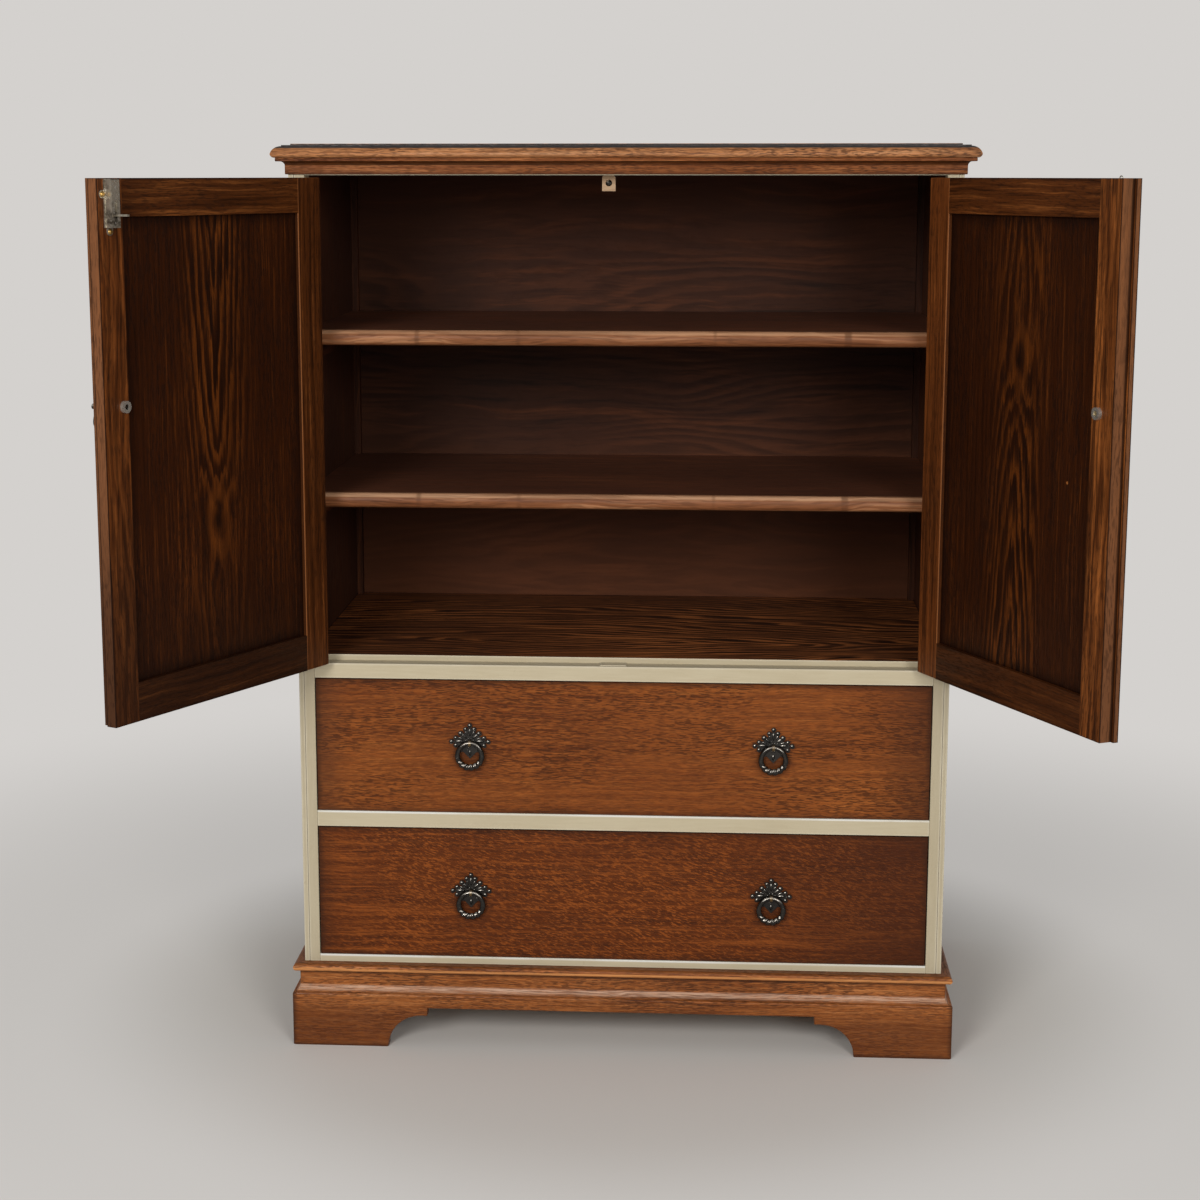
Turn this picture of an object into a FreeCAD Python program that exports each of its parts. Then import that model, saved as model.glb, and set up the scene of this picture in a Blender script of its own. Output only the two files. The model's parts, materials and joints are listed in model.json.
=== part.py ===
import FreeCAD, Part
import os
import math
import Sketcher

doc = FreeCAD.newDocument("linen_press")
sheet = doc.addObject("Spreadsheet::Sheet", "sheet")
rowsUsed = [0]


class Dim:
    def __init__(self, text, num):
        self.text = text
        self.num = num

    def join(self, other, sign, num, flip=False):
        a = self.text
        b = other.text if isinstance(other, Dim) else repr(float(other))
        if flip:
            a, b = b, a
        return Dim("(" + a + " " + sign + " " + b + ")", num)

    def __add__(self, other):
        return self.join(other, "+", self.num + numOf(other))

    def __radd__(self, other):
        return self.join(other, "+", self.num + numOf(other), True)

    def __sub__(self, other):
        return self.join(other, "-", self.num - numOf(other))

    def __rsub__(self, other):
        return self.join(other, "-", numOf(other) - self.num, True)

    def __mul__(self, other):
        return self.join(other, "*", self.num * numOf(other))

    def __rmul__(self, other):
        return self.join(other, "*", self.num * numOf(other), True)

    def __truediv__(self, other):
        return self.join(other, "/", self.num / numOf(other))

    def __neg__(self):
        return Dim("(0 - " + self.text + ")", -self.num)


def numOf(value):
    return value.num if isinstance(value, Dim) else float(value)


def textOf(value):
    return value.text if isinstance(value, Dim) else repr(float(value))


def dim(name, value):
    rowsUsed[0] += 1
    cell = "A%d" % rowsUsed[0]
    sheet.set(cell, str(value))
    sheet.setAlias(cell, name)
    return Dim("sheet." + name, float(value))


# carcass sizes, in mm
carcassWidth = dim("carcass_width", 868)
sideThick = dim("side_thickness", 7)
stileWidth = dim("stile_width", 14)
stileDepth = dim("stile_depth", 34)
insideDepth = dim("inside_depth", 478)
backThick = dim("back_thickness", 6)
frontY = dim("front_face_y", -470)
boardFit = dim("board_fit", 0.5)

# how far a cutting tool runs past the face it cuts
over = 1

# heights
plinthHeight = dim("plinth_height", 104.5)
nosingThick = dim("nosing_thickness", 11)
bottomRailHeight = dim("bottom_rail_height", 10.5)
lowerOpening = dim("lower_opening", 182)
drawerRailHeight = dim("drawer_rail_height", 22)
upperOpening = dim("upper_opening", 184.5)
doorRailHeight = dim("door_rail_height", 20.5)
floorRise = dim("floor_rise", 7.5)
floorThick = dim("floor_thickness", 15)
doorFoot = dim("door_foot_gap", 2)
doorHeight = dim("door_height", 640)
doorHead = dim("door_head_gap", 3)
headRailHeight = dim("head_rail_height", 22)
topThick = dim("top_thickness", 18)
railDepth = dim("rail_depth", 45)
headRailDepth = dim("head_rail_depth", 20)

half = carcassWidth / 2
inHalf = half - sideThick
openHalf = inHalf - stileWidth
baseZ = plinthHeight + nosingThick
lowerZ = baseZ + bottomRailHeight
drawerRailZ = lowerZ + lowerOpening
upperZ = drawerRailZ + drawerRailHeight
doorRailZ = upperZ + upperOpening
doorRailTop = doorRailZ + doorRailHeight
floorTop = doorRailTop + floorRise
doorZ = doorRailTop + doorFoot
doorTop = doorZ + doorHeight
headZ = doorTop + doorHead
carcassTop = headZ + headRailHeight
backY = frontY + insideDepth
carcassDepth = insideDepth + backThick


def box(name, lx, ly, lz, x, y, z):
    o = doc.addObject("Part::Box", name)
    for prop, v in (("Length", lx), ("Width", ly), ("Height", lz)):
        o.setExpression(prop, textOf(v))
    place(o, x, y, z)
    return o


def place(o, x, y, z):
    for prop, v in (("x", x), ("y", y), ("z", z)):
        o.setExpression("Placement.Base." + prop, textOf(v))


turns = {
    "Z": FreeCAD.Rotation(FreeCAD.Vector(0, 0, 1), 0),
    "X": FreeCAD.Rotation(FreeCAD.Vector(0, 1, 0), 90),
    "Y": FreeCAD.Rotation(FreeCAD.Vector(1, 0, 0), -90),
}


def cyl(name, radius, length, x, y, z, axis="Z"):
    o = doc.addObject("Part::Cylinder", name)
    o.Placement = FreeCAD.Placement(FreeCAD.Vector(0, 0, 0), turns[axis])
    o.setExpression("Radius", textOf(radius))
    o.setExpression("Height", textOf(length))
    place(o, x, y, z)
    return o


def cone(name, low, high, length, x, y, z, axis="Z"):
    o = doc.addObject("Part::Cone", name)
    o.Placement = FreeCAD.Placement(FreeCAD.Vector(0, 0, 0), turns[axis])
    o.setExpression("Radius1", textOf(low))
    o.setExpression("Radius2", textOf(high))
    o.setExpression("Height", textOf(length))
    place(o, x, y, z)
    return o


def cut(name, base, *tools):
    o = base
    for i, tool in enumerate(tools):
        c = doc.addObject("Part::Cut", name if i == len(tools) - 1 else "%s_cut%d" % (name, i))
        c.Base = o
        c.Tool = tool
        o = c
    return o


def fuse(name, *shapes):
    o = doc.addObject("Part::MultiFuse", name)
    o.Shapes = list(shapes)
    return o


def common(name, a, b):
    o = doc.addObject("Part::MultiCommon", name)
    o.Shapes = [a, b]
    return o


def group(name, *shapes):
    o = doc.addObject("Part::Compound", name)
    o.Links = list(shapes)
    return o


def plane(body, role):
    return [f for f in body.Origin.OriginFeatures if f.Role == role][0]


def sketchOf(body, name, points, arcs=None):
    # points are (x, y) sizes in the positive quarter; arcs maps a side to (radius, counter-clockwise)
    arcs = arcs or {}
    sk = body.newObject("Sketcher::SketchObject", name)
    sk.AttachmentSupport = [(plane(body, "XY_Plane"), "")]
    sk.MapMode = "FlatFace"
    n = len(points)
    nums = [(numOf(a), numOf(b)) for a, b in points]
    ends = []
    for i in range(n):
        ax, ay = nums[i]
        bx, by = nums[(i + 1) % n]
        if i in arcs:
            radius, ccw = arcs[i]
            r = numOf(radius)
            if not ccw:
                ax, ay, bx, by = bx, by, ax, ay
            mx, my = (ax + bx) / 2, (ay + by) / 2
            chord = math.hypot(bx - ax, by - ay)
            rise = math.sqrt(max(r * r - chord * chord / 4, 0.0))
            cx = mx - (by - ay) / chord * rise
            cy = my + (bx - ax) / chord * rise
            a0 = math.atan2(ay - cy, ax - cx)
            a1 = math.atan2(by - cy, bx - cx)
            if a1 < a0:
                a1 += 2 * math.pi
            circle = Part.Circle(FreeCAD.Vector(cx, cy, 0), FreeCAD.Vector(0, 0, 1), r)
            sk.addGeometry(Part.ArcOfCircle(circle, a0, a1), False)
            ends.append((1, 2) if ccw else (2, 1))
        else:
            sk.addGeometry(Part.LineSegment(FreeCAD.Vector(ax, ay, 0), FreeCAD.Vector(bx, by, 0)), False)
            ends.append((1, 2))
    for i in range(n):
        j = (i + 1) % n
        sk.addConstraint(Sketcher.Constraint("Coincident", i, ends[i][1], j, ends[j][0]))
    for i in range(n):
        for kind, value, axis in (("DistanceX", points[i][0], -2), ("DistanceY", points[i][1], -1)):
            if abs(numOf(value)) < 1e-9:
                sk.addConstraint(Sketcher.Constraint("PointOnObject", i, ends[i][0], axis))
            else:
                k = sk.addConstraint(Sketcher.Constraint(kind, -1, 1, i, ends[i][0], numOf(value)))
                if isinstance(value, Dim):
                    sk.renameConstraint(k, "c%d" % k)
                    sk.setExpression("Constraints.c%d" % k, value.text)
    for i in arcs:
        k = sk.addConstraint(Sketcher.Constraint("Radius", i, numOf(arcs[i][0])))
        if isinstance(arcs[i][0], Dim):
            sk.renameConstraint(k, "c%d" % k)
            sk.setExpression("Constraints.c%d" % k, arcs[i][0].text)
    return sk


def circlesOf(body, name, circles):
    sk = body.newObject("Sketcher::SketchObject", name)
    sk.AttachmentSupport = [(plane(body, "XY_Plane"), "")]
    sk.MapMode = "FlatFace"
    for i, (x, y, r) in enumerate(circles):
        middle = FreeCAD.Vector(numOf(x), numOf(y), 0)
        sk.addGeometry(Part.Circle(middle, FreeCAD.Vector(0, 0, 1), numOf(r)), False)
        for kind, value, axis in (("DistanceX", x, -2), ("DistanceY", y, -1)):
            k = sk.addConstraint(Sketcher.Constraint(kind, -1, 1, i, 3, numOf(value)))
            if isinstance(value, Dim):
                sk.renameConstraint(k, "c%d" % k)
                sk.setExpression("Constraints.c%d" % k, value.text)
        k = sk.addConstraint(Sketcher.Constraint("Radius", i, numOf(r)))
        if isinstance(r, Dim):
            sk.renameConstraint(k, "c%d" % k)
            sk.setExpression("Constraints.c%d" % k, r.text)
    return sk


# local x, y and pad direction of a body, as turns: profile run along X, or face pushed along -Y
alongX = FreeCAD.Rotation(FreeCAD.Vector(1, 1, 1), 120)
intoFront = FreeCAD.Rotation(FreeCAD.Vector(1, 0, 0), 90)


def padded(name, points, arcs, length, turn, x, y, z):
    body = doc.addObject("PartDesign::Body", name)
    sk = sketchOf(body, name + "_outline", points, arcs)
    pad = body.newObject("PartDesign::Pad", name + "_pad")
    pad.Profile = sk
    pad.setExpression("Length", textOf(length))
    body.Tip = pad
    body.Placement = FreeCAD.Placement(FreeCAD.Vector(0, 0, 0), turn)
    place(body, x, y, z)
    return body


mitreTool = carcassTop + dim("mitre_reach", 60)


def mitre(name, x, y, deg):
    # a block whose flat side stands on the corner at x, y and faces along deg
    o = doc.addObject("Part::Box", name)
    o.Placement = FreeCAD.Placement(FreeCAD.Vector(0, 0, 0), FreeCAD.Rotation(FreeCAD.Vector(0, 0, 1), deg))
    for prop in ("Length", "Height"):
        o.setExpression(prop, mitreTool.text)
    o.setExpression("Width", (mitreTool * 2).text)
    s = math.sin(math.radians(deg))
    c = math.cos(math.radians(deg))
    place(o, x + mitreTool * s, y - mitreTool * c, mitreTool * 0)
    return o


nodes = []


def node(o, name):
    o.Label = name
    nodes.append((o, name))
    return o


# side panels, stiles and back
node(box("side_l", sideThick, carcassDepth, carcassTop - baseZ, -half, frontY, baseZ), "side_panel_left")
node(box("side_r", sideThick, carcassDepth, carcassTop - baseZ, inHalf, frontY, baseZ), "side_panel_right")
stileL = box("stile_l", stileWidth, stileDepth, carcassTop - baseZ, -inHalf, frontY, baseZ)
stileR = box("stile_r", stileWidth, stileDepth, carcassTop - baseZ, openHalf, frontY, baseZ)
node(group("stiles", stileL, stileR), "front_stiles")
node(box("back", inHalf * 2, backThick, carcassTop - baseZ, -inHalf, backY, baseZ), "back_panel")
battenWidth = dim("batten_width", 9)
battenDepth = dim("batten_depth", 12)
shelfPitch = doorHeight * dim("shelf_pitch_share", 0.34)
shelfLowTop = floorTop + shelfPitch
shelfHighTop = shelfLowTop + shelfPitch
shelfThick = dim("shelf_thickness", 20)
battens = []
for tag, z0, z1 in (
    ("low", floorTop, shelfLowTop - shelfThick),
    ("mid", shelfLowTop, shelfHighTop - shelfThick),
    ("top", shelfHighTop, carcassTop),
):
    y = backY - battenDepth
    battens.append(box("batten_l_" + tag, battenWidth, battenDepth, z1 - z0, -inHalf, y, z0))
    battens.append(box("batten_r_" + tag, battenWidth, battenDepth, z1 - z0, inHalf - battenWidth, y, z0))
node(group("battens", *battens), "back_battens")

# top board with its moulded edge on three sides
noseOut = dim("nose_overhang", 19.7)
fieldIn = dim("field_edge_in", 3.2)
fieldStep = dim("field_step", 1.8)
ledgeOut = dim("ledge_overhang", 7)
ledgeDrop = dim("ledge_drop", 1.4)
noseDrop = dim("nose_drop", 13.4)
underOut = dim("under_nose_overhang", 14.7)
ovoloRadius = dim("ovolo_radius", 13)
noseRadius = dim("nose_radius", 5.2)
topBack = dim("top_back_overhang", 2)
reach = noseOut
topDeep = carcassDepth + noseOut + topBack
frontMould = padded(
    "top_run",
    [
        (reach - underOut, 0),
        (topDeep, 0),
        (topDeep, topThick),
        (reach + fieldIn, topThick),
        (reach + fieldIn, topThick - fieldStep),
        (reach - ledgeOut, topThick - fieldStep),
        (reach - ledgeOut, topThick - fieldStep - ledgeDrop),
        (reach * 0, topThick - noseDrop),
    ],
    {6: (ovoloRadius, True), 7: (noseRadius, True)},
    (half + noseOut) * 2,
    alongX,
    -(half + noseOut),
    frontY - noseOut,
    carcassTop,
)
topWide = (half + noseOut) * 2
sideMould = padded(
    "top_across",
    [
        (reach - underOut, 0),
        (topWide - reach + underOut, 0),
        (topWide, topThick - noseDrop),
        (topWide - reach + ledgeOut, topThick - fieldStep - ledgeDrop),
        (topWide - reach + ledgeOut, topThick - fieldStep),
        (topWide - reach - fieldIn, topThick - fieldStep),
        (topWide - reach - fieldIn, topThick),
        (reach + fieldIn, topThick),
        (reach + fieldIn, topThick - fieldStep),
        (reach - ledgeOut, topThick - fieldStep),
        (reach - ledgeOut, topThick - fieldStep - ledgeDrop),
        (reach * 0, topThick - noseDrop),
    ],
    {1: (noseRadius, True), 2: (ovoloRadius, True), 10: (ovoloRadius, True), 11: (noseRadius, True)},
    topDeep,
    intoFront,
    -(half + noseOut),
    frontY + carcassDepth + topBack,
    carcassTop,
)
node(common("top", frontMould, sideMould), "top_board")

# cove moulding under the top
coveHeight = dim("cove_height", 21)
coveFoot = dim("cove_foot_overhang", 3.5)
coveHead = dim("cove_head_overhang", 14.2)
coveFillet = dim("cove_fillet_drop", 4.5)
coveLip = dim("cove_lip", 6)
coveRadius = dim("cove_radius", 6)
coveFascia = dim("cove_fascia_height", 11.5)
coveZ = carcassTop - coveHeight
covePoints = [
    (coveHead - coveFoot, 0),
    (coveHead, 0),
    (coveHead, coveHeight),
    (coveHead * 0, coveHeight),
    (coveHead * 0, coveHeight - coveFillet),
    (coveLip, coveHeight - coveFillet),
    (coveHead - coveFoot, coveFascia),
]
coveRun = padded(
    "cove_run", covePoints, {5: (coveRadius, False)}, (half + coveHead) * 2, alongX,
    -(half + coveHead), frontY - coveHead, coveZ,
)
coveX = half + coveHead
coveY = frontY - coveHead
coveMitreR = mitre("cove_m1", coveX, coveY, 45)
coveMitreL = mitre("cove_m2", -coveX, coveY, 135)
node(cut("cove_front", coveRun, coveMitreR, coveMitreL), "cornice_front")
coveSideR = padded(
    "cove_run_r",
    [
        (coveHead * 0, 0),
        (coveFoot, 0),
        (coveFoot, coveFascia),
        (coveHead - coveLip, coveHeight - coveFillet),
        (coveHead, coveHeight - coveFillet),
        (coveHead, coveHeight),
        (coveHead * 0, coveHeight),
    ],
    {2: (coveRadius, False)}, carcassDepth + coveHead, intoFront, half, frontY + carcassDepth, coveZ,
)
coveSideL = padded(
    "cove_run_l", covePoints, {5: (coveRadius, False)}, carcassDepth + coveHead, intoFront,
    -coveX, frontY + carcassDepth, coveZ,
)
coveR = cut("cove_r", coveSideR, mitre("cove_m3", coveX, coveY, 225))
coveL = cut("cove_l", coveSideL, mitre("cove_m4", -coveX, coveY, 315))
node(group("cove_sides", coveL, coveR), "cornice_returns")

# rails of the front
node(box("head", openHalf * 2, headRailDepth, headRailHeight, -openHalf, frontY, headZ), "head_rail")
floorFront = dim("floor_set_back", 23)
node(box("rail_door", openHalf * 2, floorFront, doorRailHeight, -openHalf, frontY, doorRailZ), "door_rail")
railLong = openHalf * 2
node(box("rail_drawer", railLong, railDepth, drawerRailHeight, -openHalf, frontY, drawerRailZ), "drawer_rail")
node(box("rail_bottom", railLong, railDepth, bottomRailHeight, -openHalf, frontY, baseZ), "bottom_rail")

# rail behind the head, with the tongue that carries the stop block, and the block with its screw
innerRailY = dim("inner_rail_set_back", 46)
innerRailThick = dim("inner_rail_thickness", 16)
innerRailHeight = dim("inner_rail_height", 21)
tongueIn = dim("block_tongue_in", 1.8)
blockLeft = dim("block_left", -28.8)
blockWidth = dim("block_width", 17.3)
blockThick = dim("block_thickness", 12)
blockHeight = dim("block_height", 21)
blockTop = headZ + dim("block_rise", 0.5)
blockChamfer = dim("block_chamfer", 3)
screwHead = dim("block_screw_head", 4.2)
screwShank = dim("block_screw_shank", 1.8)
screwFit = dim("screw_fit", 0.3)
screwSink = dim("block_screw_sink", 2.6)
blockY = frontY + innerRailY - blockThick
innerRailZ = carcassTop - innerRailHeight
tongueZ = blockTop - blockHeight + tongueIn
railBack = frontY + innerRailY
innerRail = box("inner_rail", inHalf * 2, innerRailThick, innerRailHeight, -inHalf, railBack, innerRailZ)
blockTongue = box(
    "block_tongue", blockWidth - tongueIn * 2, innerRailThick, innerRailZ - tongueZ + over,
    blockLeft + tongueIn, railBack, tongueZ,
)
node(fuse("inner_rail_whole", innerRail, blockTongue), "inner_top_rail")
blockBody = padded(
    "block",
    [
        (blockWidth * 0, 0),
        (blockWidth, 0),
        (blockWidth, blockHeight - blockChamfer),
        (blockWidth - blockChamfer, blockHeight),
        (blockChamfer, blockHeight),
        (blockWidth * 0, blockHeight - blockChamfer),
    ],
    {}, blockThick, intoFront, blockLeft, frontY + innerRailY, blockTop - blockHeight,
)
screwX = blockLeft + blockWidth / 2
screwZ = blockTop - blockHeight / 2
blockHole = cyl("block_hole", screwShank + screwFit, blockThick * 2, screwX, blockY - over, screwZ, "Y")
blockSeat = cyl("block_seat", screwHead + screwFit, screwSink + over, screwX, blockY - over, screwZ, "Y")
node(cut("stop_block_solid", blockBody, blockHole, blockSeat), "stop_block")
domeRadius = screwHead * dim("screw_dome_share", 1.25)
domeDepth = screwHead * dim("screw_dome_depth_share", 0.75)
screwDome = doc.addObject("Part::Sphere", "screw_dome")
screwDome.setExpression("Radius", domeRadius.text)
place(screwDome, screwX, blockY + screwSink + domeDepth, screwZ)
domeCut = box(
    "dome_cut", domeRadius * 4, domeRadius * 4, domeRadius * 4, screwX - domeRadius * 2, blockY + screwSink,
    screwZ - domeRadius * 2,
)
screwCap = cut("screw_cap", screwDome, domeCut)
screwShaft = cyl("screw_shaft", screwShank, blockThick - screwSink, screwX, blockY + screwSink, screwZ, "Y")
slotWide = dim("screw_slot", 1.1)
slotDeep = dim("screw_slot_depth", 1.3)
slotTool = box(
    "slot_tool", screwHead * 4, slotDeep * 2, slotWide, screwX - screwHead * 2,
    blockY + screwSink + domeDepth - domeRadius - slotDeep, screwZ - slotWide / 2,
)
node(cut("stop_screw", fuse("stop_screw_whole", screwCap, screwShaft), slotTool), "stop_block_screw")

# cupboard floor, keep plate and shelves
floorMain = box(
    "floor_main", (inHalf - boardFit) * 2, insideDepth - stileDepth - boardFit, floorThick, boardFit - inHalf,
    frontY + stileDepth + boardFit, floorTop - floorThick,
)
floorNeck = box(
    "floor_neck", (openHalf - boardFit) * 2, stileDepth + boardFit - floorFront, floorThick,
    boardFit - openHalf, frontY + floorFront, floorTop - floorThick,
)
node(fuse("floor_board", floorMain, floorNeck), "cupboard_floor")
keepWidth = dim("keep_width", 35)
keepDepth = dim("keep_depth", 18)
keepThick = dim("keep_thickness", 1)
keepLeft = dim("keep_left", -29)
keepBack = dim("keep_back_gap", 0.5)
keepY = frontY + floorFront - keepBack - keepDepth
node(box("keep", keepWidth, keepDepth, keepThick, keepLeft, keepY, doorRailTop), "keep_plate")
shelfFront = dim("shelf_set_back", 36)
lippingDepth = dim("lipping_depth", 13)
shelfWide = (inHalf - boardFit) * 2
shelfY = frontY + shelfFront + lippingDepth
shelfDeep = insideDepth - shelfFront - lippingDepth
shelfX = boardFit - inHalf
shelfLow = box("shelf_low", shelfWide, shelfDeep, shelfThick, shelfX, shelfY, shelfLowTop - shelfThick)
shelfHigh = box("shelf_high", shelfWide, shelfDeep, shelfThick, shelfX, shelfY, shelfHighTop - shelfThick)
node(group("shelf_pair", shelfLow, shelfHigh), "shelves")
lippings = []
for tag, top in (("low", shelfLowTop), ("high", shelfHighTop)):
    lippings.append(
        padded(
            "lipping_" + tag,
            [
                (shelfThick / 2, 0),
                (lippingDepth, 0),
                (lippingDepth, shelfThick),
                (shelfThick / 2, shelfThick),
                (shelfThick * 0, shelfThick / 2),
            ],
            {3: (shelfThick / 2, True), 4: (shelfThick / 2, True)},
            shelfWide, alongX, boardFit - inHalf, frontY + shelfFront, top - shelfThick,
        )
    )
node(group("lipping_pair", *lippings), "shelf_lippings")
bearerWidth = dim("bearer_width", 13)
bearerHeight = dim("bearer_height", 20)
bearerFront = dim("bearer_set_back", 62)
bearerLong = insideDepth - bearerFront - dim("bearer_back_gap", 16)
bearers = []
for tag, top in (("low", shelfLowTop), ("high", shelfHighTop)):
    z = top - shelfThick - bearerHeight
    y = frontY + bearerFront
    bearers.append(box("bearer_l_" + tag, bearerWidth, bearerLong, bearerHeight, -inHalf, y, z))
    bearers.append(box("bearer_r_" + tag, bearerWidth, bearerLong, bearerHeight, inHalf - bearerWidth, y, z))
node(group("bearer_set", *bearers), "shelf_bearers")

# drawer runners with guides
runnerWidth = dim("runner_width", 32)
runnerHeight = dim("runner_height", 10.5)
guideWidth = dim("guide_width", 13)
guideHeight = dim("guide_height", 20)
runners = []
for tag, top in (("low", lowerZ), ("high", upperZ)):
    for side in ("l", "r"):
        rx = -inHalf if side == "l" else inHalf - runnerWidth
        gx = -inHalf if side == "l" else inHalf - guideWidth
        ry = frontY + railDepth
        rl = insideDepth - railDepth
        runner = box("runner_%s_%s" % (tag, side), runnerWidth, rl, runnerHeight, rx, ry, top - runnerHeight)
        guide = box("guide_%s_%s" % (tag, side), guideWidth, rl, guideHeight, gx, ry, top)
        runners.append(fuse("runner_whole_%s_%s" % (tag, side), runner, guide))
node(group("runner_set", *runners), "drawer_runners")

# plinth boards with the arched foot outline and the concave shoulder
plinthOut = dim("plinth_overhang", 15.5)
neckOut = dim("plinth_neck_overhang", 6)
plinthThick = dim("plinth_thickness", 20)
faceHeight = dim("plinth_face_height", 74.5)
shoulderTop = dim("plinth_shoulder_top", 86)
shoulderRadius = dim("plinth_shoulder_radius", 11)
footWidth = dim("foot_width", 131.5)
footRadius = dim("foot_arc_radius", 45)
footLand = dim("foot_land", 9)
archHeight = dim("arch_height", 56)
plinthX = half + plinthOut
plinthY = frontY - plinthOut
plinthBackY = frontY + carcassDepth
plinthPoints = [
    (plinthOut * 0, 0),
    (plinthThick, 0),
    (plinthThick, plinthHeight),
    (plinthOut - neckOut, plinthHeight),
    (plinthOut - neckOut, shoulderTop),
    (plinthOut * 0, faceHeight),
]
plinthRun = padded(
    "plinth_run", plinthPoints, {4: (shoulderRadius, False)},
    plinthX * 2, alongX, -plinthX, plinthY, plinthHeight * 0,
)


def archOutline(wide):
    return [
        (wide * 0, 0),
        (footWidth, 0),
        (footWidth + footRadius, footRadius),
        (footWidth + footRadius + footLand, footRadius),
        (footWidth + footRadius + footLand, archHeight),
        (wide - footWidth - footRadius - footLand, archHeight),
        (wide - footWidth - footRadius - footLand, footRadius),
        (wide - footWidth - footRadius, footRadius),
        (wide - footWidth, 0),
        (wide, 0),
        (wide, plinthHeight),
        (wide * 0, plinthHeight),
    ]


archArcs = {1: (footRadius, False), 7: (footRadius, False)}
plinthFace = padded(
    "plinth_face", archOutline(plinthX * 2), archArcs, plinthThick, intoFront, -plinthX, plinthY + plinthThick,
    plinthHeight * 0,
)
plinthWhole = common("plinth_front_whole", plinthRun, plinthFace)
plinthMitreR = mitre("plinth_m1", plinthX, plinthY, 45)
plinthMitreL = mitre("plinth_m2", -plinthX, plinthY, 135)
node(cut("plinth_f", plinthWhole, plinthMitreR, plinthMitreL), "plinth_front")
plinthLong = carcassDepth + plinthOut
plinthSides = []
for tag in ("l", "r"):
    sx = -plinthX if tag == "l" else plinthX - plinthThick
    if tag == "l":
        points = plinthPoints
        arcs = {4: (shoulderRadius, False)}
    else:
        points = [
            (plinthOut * 0, 0),
            (plinthThick, 0),
            (plinthThick, faceHeight),
            (plinthThick - plinthOut + neckOut, shoulderTop),
            (plinthThick - plinthOut + neckOut, plinthHeight),
            (plinthOut * 0, plinthHeight),
        ]
        arcs = {2: (shoulderRadius, False)}
    run = padded("plinth_run_" + tag, points, arcs, plinthLong, intoFront, sx, plinthBackY, plinthHeight * 0)
    face = padded(
        "plinth_face_" + tag, archOutline(plinthLong), archArcs,
        plinthThick, alongX, sx, plinthY, plinthHeight * 0,
    )
    whole = common("plinth_whole_" + tag, run, face)
    corner = plinthX if tag == "r" else -plinthX
    plinthSides.append(
        cut("plinth_side_" + tag, whole, mitre("plinth_m_" + tag, corner, plinthY, 225 if tag == "r" else 315))
    )
node(group("plinth_pair", *plinthSides), "plinth_sides")
plinthBackThick = dim("plinth_back_thickness", 18)
node(
    box(
        "plinth_b", (plinthX - plinthThick) * 2, plinthBackThick, plinthHeight, plinthThick - plinthX,
        -plinthBackThick / 2, plinthHeight * 0,
    ),
    "plinth_back",
)
blockSize = dim("corner_block", 35)
cornerX = plinthX - plinthThick
corners = []
for tag, bx, by in (
    ("fl", -cornerX, plinthY + plinthThick),
    ("fr", cornerX - blockSize, plinthY + plinthThick),
    ("bl", -cornerX, -plinthBackThick / 2 - blockSize),
    ("br", cornerX - blockSize, -plinthBackThick / 2 - blockSize),
):
    corners.append(box("corner_" + tag, blockSize, blockSize, plinthHeight, bx, by, plinthHeight * 0))
node(group("corner_set", *corners), "plinth_blocks")

# half-round nosing over the plinth, mitred at the front corners
nosingOut = dim("nosing_overhang", 14.4)
nosingWidth = dim("nosing_width", 40)
nosingX = half + nosingOut
nosingY = frontY - nosingOut
nosingPoints = [
    (nosingThick / 2, 0),
    (nosingWidth, 0),
    (nosingWidth, nosingThick),
    (nosingThick / 2, nosingThick),
    (nosingThick * 0, nosingThick / 2),
]
nosingArcs = {3: (nosingThick / 2, True), 4: (nosingThick / 2, True)}
nosingRun = padded(
    "nosing_run", nosingPoints, nosingArcs, nosingX * 2, alongX, -nosingX, nosingY, plinthHeight
)
nosingMitreR = mitre("nosing_m1", nosingX, nosingY, 45)
nosingMitreL = mitre("nosing_m2", -nosingX, nosingY, 135)
node(cut("nosing_f", nosingRun, nosingMitreR, nosingMitreL), "nosing_front")
nosingLong = carcassDepth + nosingOut
nosingL = padded(
    "nosing_run_l", nosingPoints, nosingArcs, nosingLong, intoFront, -nosingX, plinthBackY,
    plinthHeight,
)
nosingR = padded(
    "nosing_run_r",
    [
        (nosingThick * 0, 0),
        (nosingWidth - nosingThick / 2, 0),
        (nosingWidth, nosingThick / 2),
        (nosingWidth - nosingThick / 2, nosingThick),
        (nosingThick * 0, nosingThick),
    ],
    {1: (nosingThick / 2, True), 2: (nosingThick / 2, True)},
    nosingLong, intoFront, nosingX - nosingWidth, plinthBackY, plinthHeight,
)
nosingLeft = cut("nosing_l", nosingL, mitre("nosing_m3", -nosingX, nosingY, 315))
nosingRight = cut("nosing_r", nosingR, mitre("nosing_m4", nosingX, nosingY, 225))
node(group("nosing_pair", nosingLeft, nosingRight), "nosing_returns")

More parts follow.
